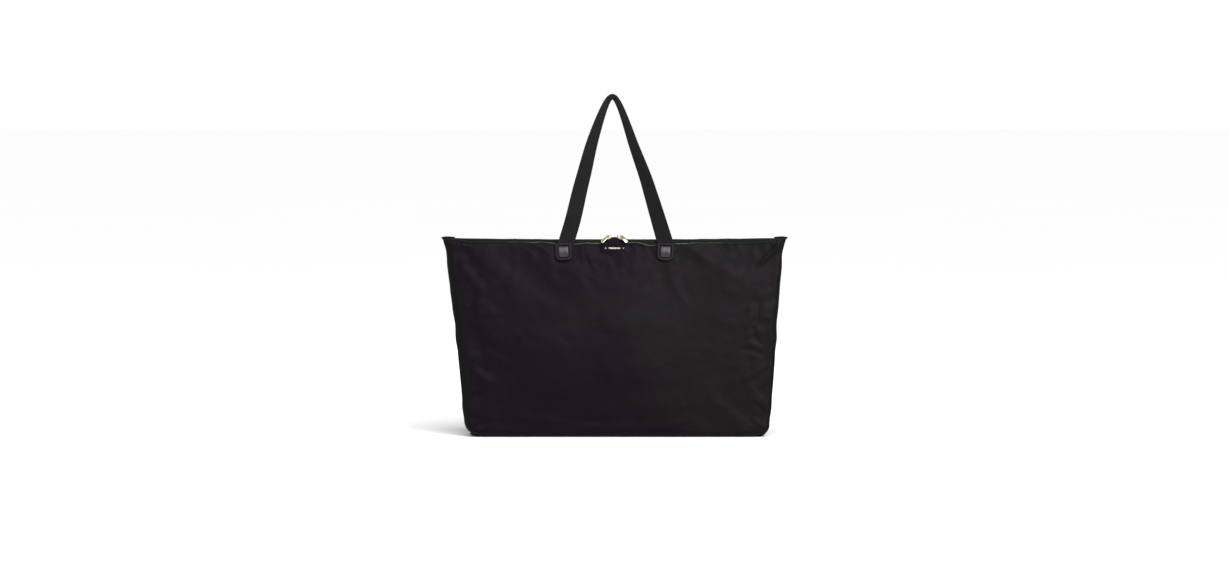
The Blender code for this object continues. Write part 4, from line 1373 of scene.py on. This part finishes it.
VIEW_SPAN = 1.966
VIEW_DISTANCE = 6.0
VIEW_ELEVATION = 3.0
VIEW_CENTRE_HEIGHT = 0.243
SENSOR_WIDTH = 36

FLOOR_REACH = 40
FLOOR_DROP = 0.0002

WORLD_LIGHT = 0.42
WORLD_SEEN = 1.0
SUN_POWER = 2.6
SUN_SPREAD = 50
SUN_TURN = (38, 0, 24)

# Each soft light: its name, its place, what it faces, its size and its power.
PANELS = (
    ("key_panel", (1.5, -2.2, 1.9), (0.05, 0, 0.18), (1.2, 1.2), 40),
    ("side_panel", (-2.4, -0.9, 0.9), (0, 0, 0.2), (0.8, 1.4), 6),
    ("back_panel", (-1.0, 2.4, 1.7), (0, 0, 0.2), (1.2, 1.2), 22),
)


def make_camera():
    data = bpy.data.cameras.new("camera")
    data.sensor_width = SENSOR_WIDTH
    data.lens = data.sensor_width * VIEW_DISTANCE / VIEW_SPAN
    camera = bpy.data.objects.new("camera", data)
    lift = math.radians(VIEW_ELEVATION)
    camera.location = (0, -VIEW_DISTANCE * math.cos(lift),
                       VIEW_CENTRE_HEIGHT + VIEW_DISTANCE * math.sin(lift))
    camera.rotation_euler = (math.pi / 2 - lift, 0, 0)
    bpy.context.scene.collection.objects.link(camera)
    bpy.context.scene.camera = camera


def make_floor():
    material, tree, shader = new_material("floor_paint", Roughness=0.75)
    shade = noise(tree, object_place(tree), 1.2, 2.0)
    tree.links.new(mix_colour(tree, shade, (0.96, 0.96, 0.96, 1), (0.98, 0.98, 0.98, 1)),
                   shader.inputs["Base Color"])
    corners = ((-1, -1), (1, -1), (1, 1), (-1, 1))
    points = [(x * FLOOR_REACH, y * FLOOR_REACH, -FLOOR_DROP) for x, y in corners]
    mesh = bpy.data.meshes.new("floor")
    mesh.from_pydata(points, [], [[0, 1, 2, 3]])
    mesh.materials.append(material)
    floor = bpy.data.objects.new("floor", mesh)
    bpy.context.scene.collection.objects.link(floor)


def make_area_light(name, place, aim, size, power):
    data = bpy.data.lights.new(name, "AREA")
    data.shape = "RECTANGLE"
    data.size, data.size_y = size
    data.energy = power
    light = bpy.data.objects.new(name, data)
    light.location = place
    direction = np.array(aim, float) - np.array(place, float)
    pitch = math.atan2(math.hypot(direction[0], direction[1]), -direction[2])
    light.rotation_euler = (pitch, 0, math.atan2(-direction[0], direction[1]))
    bpy.context.scene.collection.objects.link(light)


def make_light():
    scene = bpy.context.scene
    world = bpy.data.worlds.new("studio")
    scene.world = world
    world.use_nodes = True
    tree = world.node_tree
    background = tree.nodes["Background"]
    background.inputs["Color"].default_value = (1.0, 1.0, 1.0, 1)
    seen = add(tree, "ShaderNodeLightPath").outputs["Is Camera Ray"]
    tree.links.new(spread(tree, seen, WORLD_LIGHT, WORLD_SEEN), background.inputs["Strength"])
    sun_data = bpy.data.lights.new("sky_panel", "SUN")
    sun_data.energy = SUN_POWER
    sun_data.angle = math.radians(SUN_SPREAD)
    sun = bpy.data.objects.new("sky_panel", sun_data)
    sun.rotation_euler = [math.radians(turn) for turn in SUN_TURN]
    scene.collection.objects.link(sun)
    for name, place, aim, size, power in PANELS:
        make_area_light(name, place, aim, size, power)
    scene.view_settings.view_transform = "Standard"


make_camera()
make_floor()
make_light()
make_walls()
make_gussets()
make_base()
make_zip()
make_end_tabs()
make_handles()
make_patches()
make_centre_trim()
make_pulls()
make_pocket()
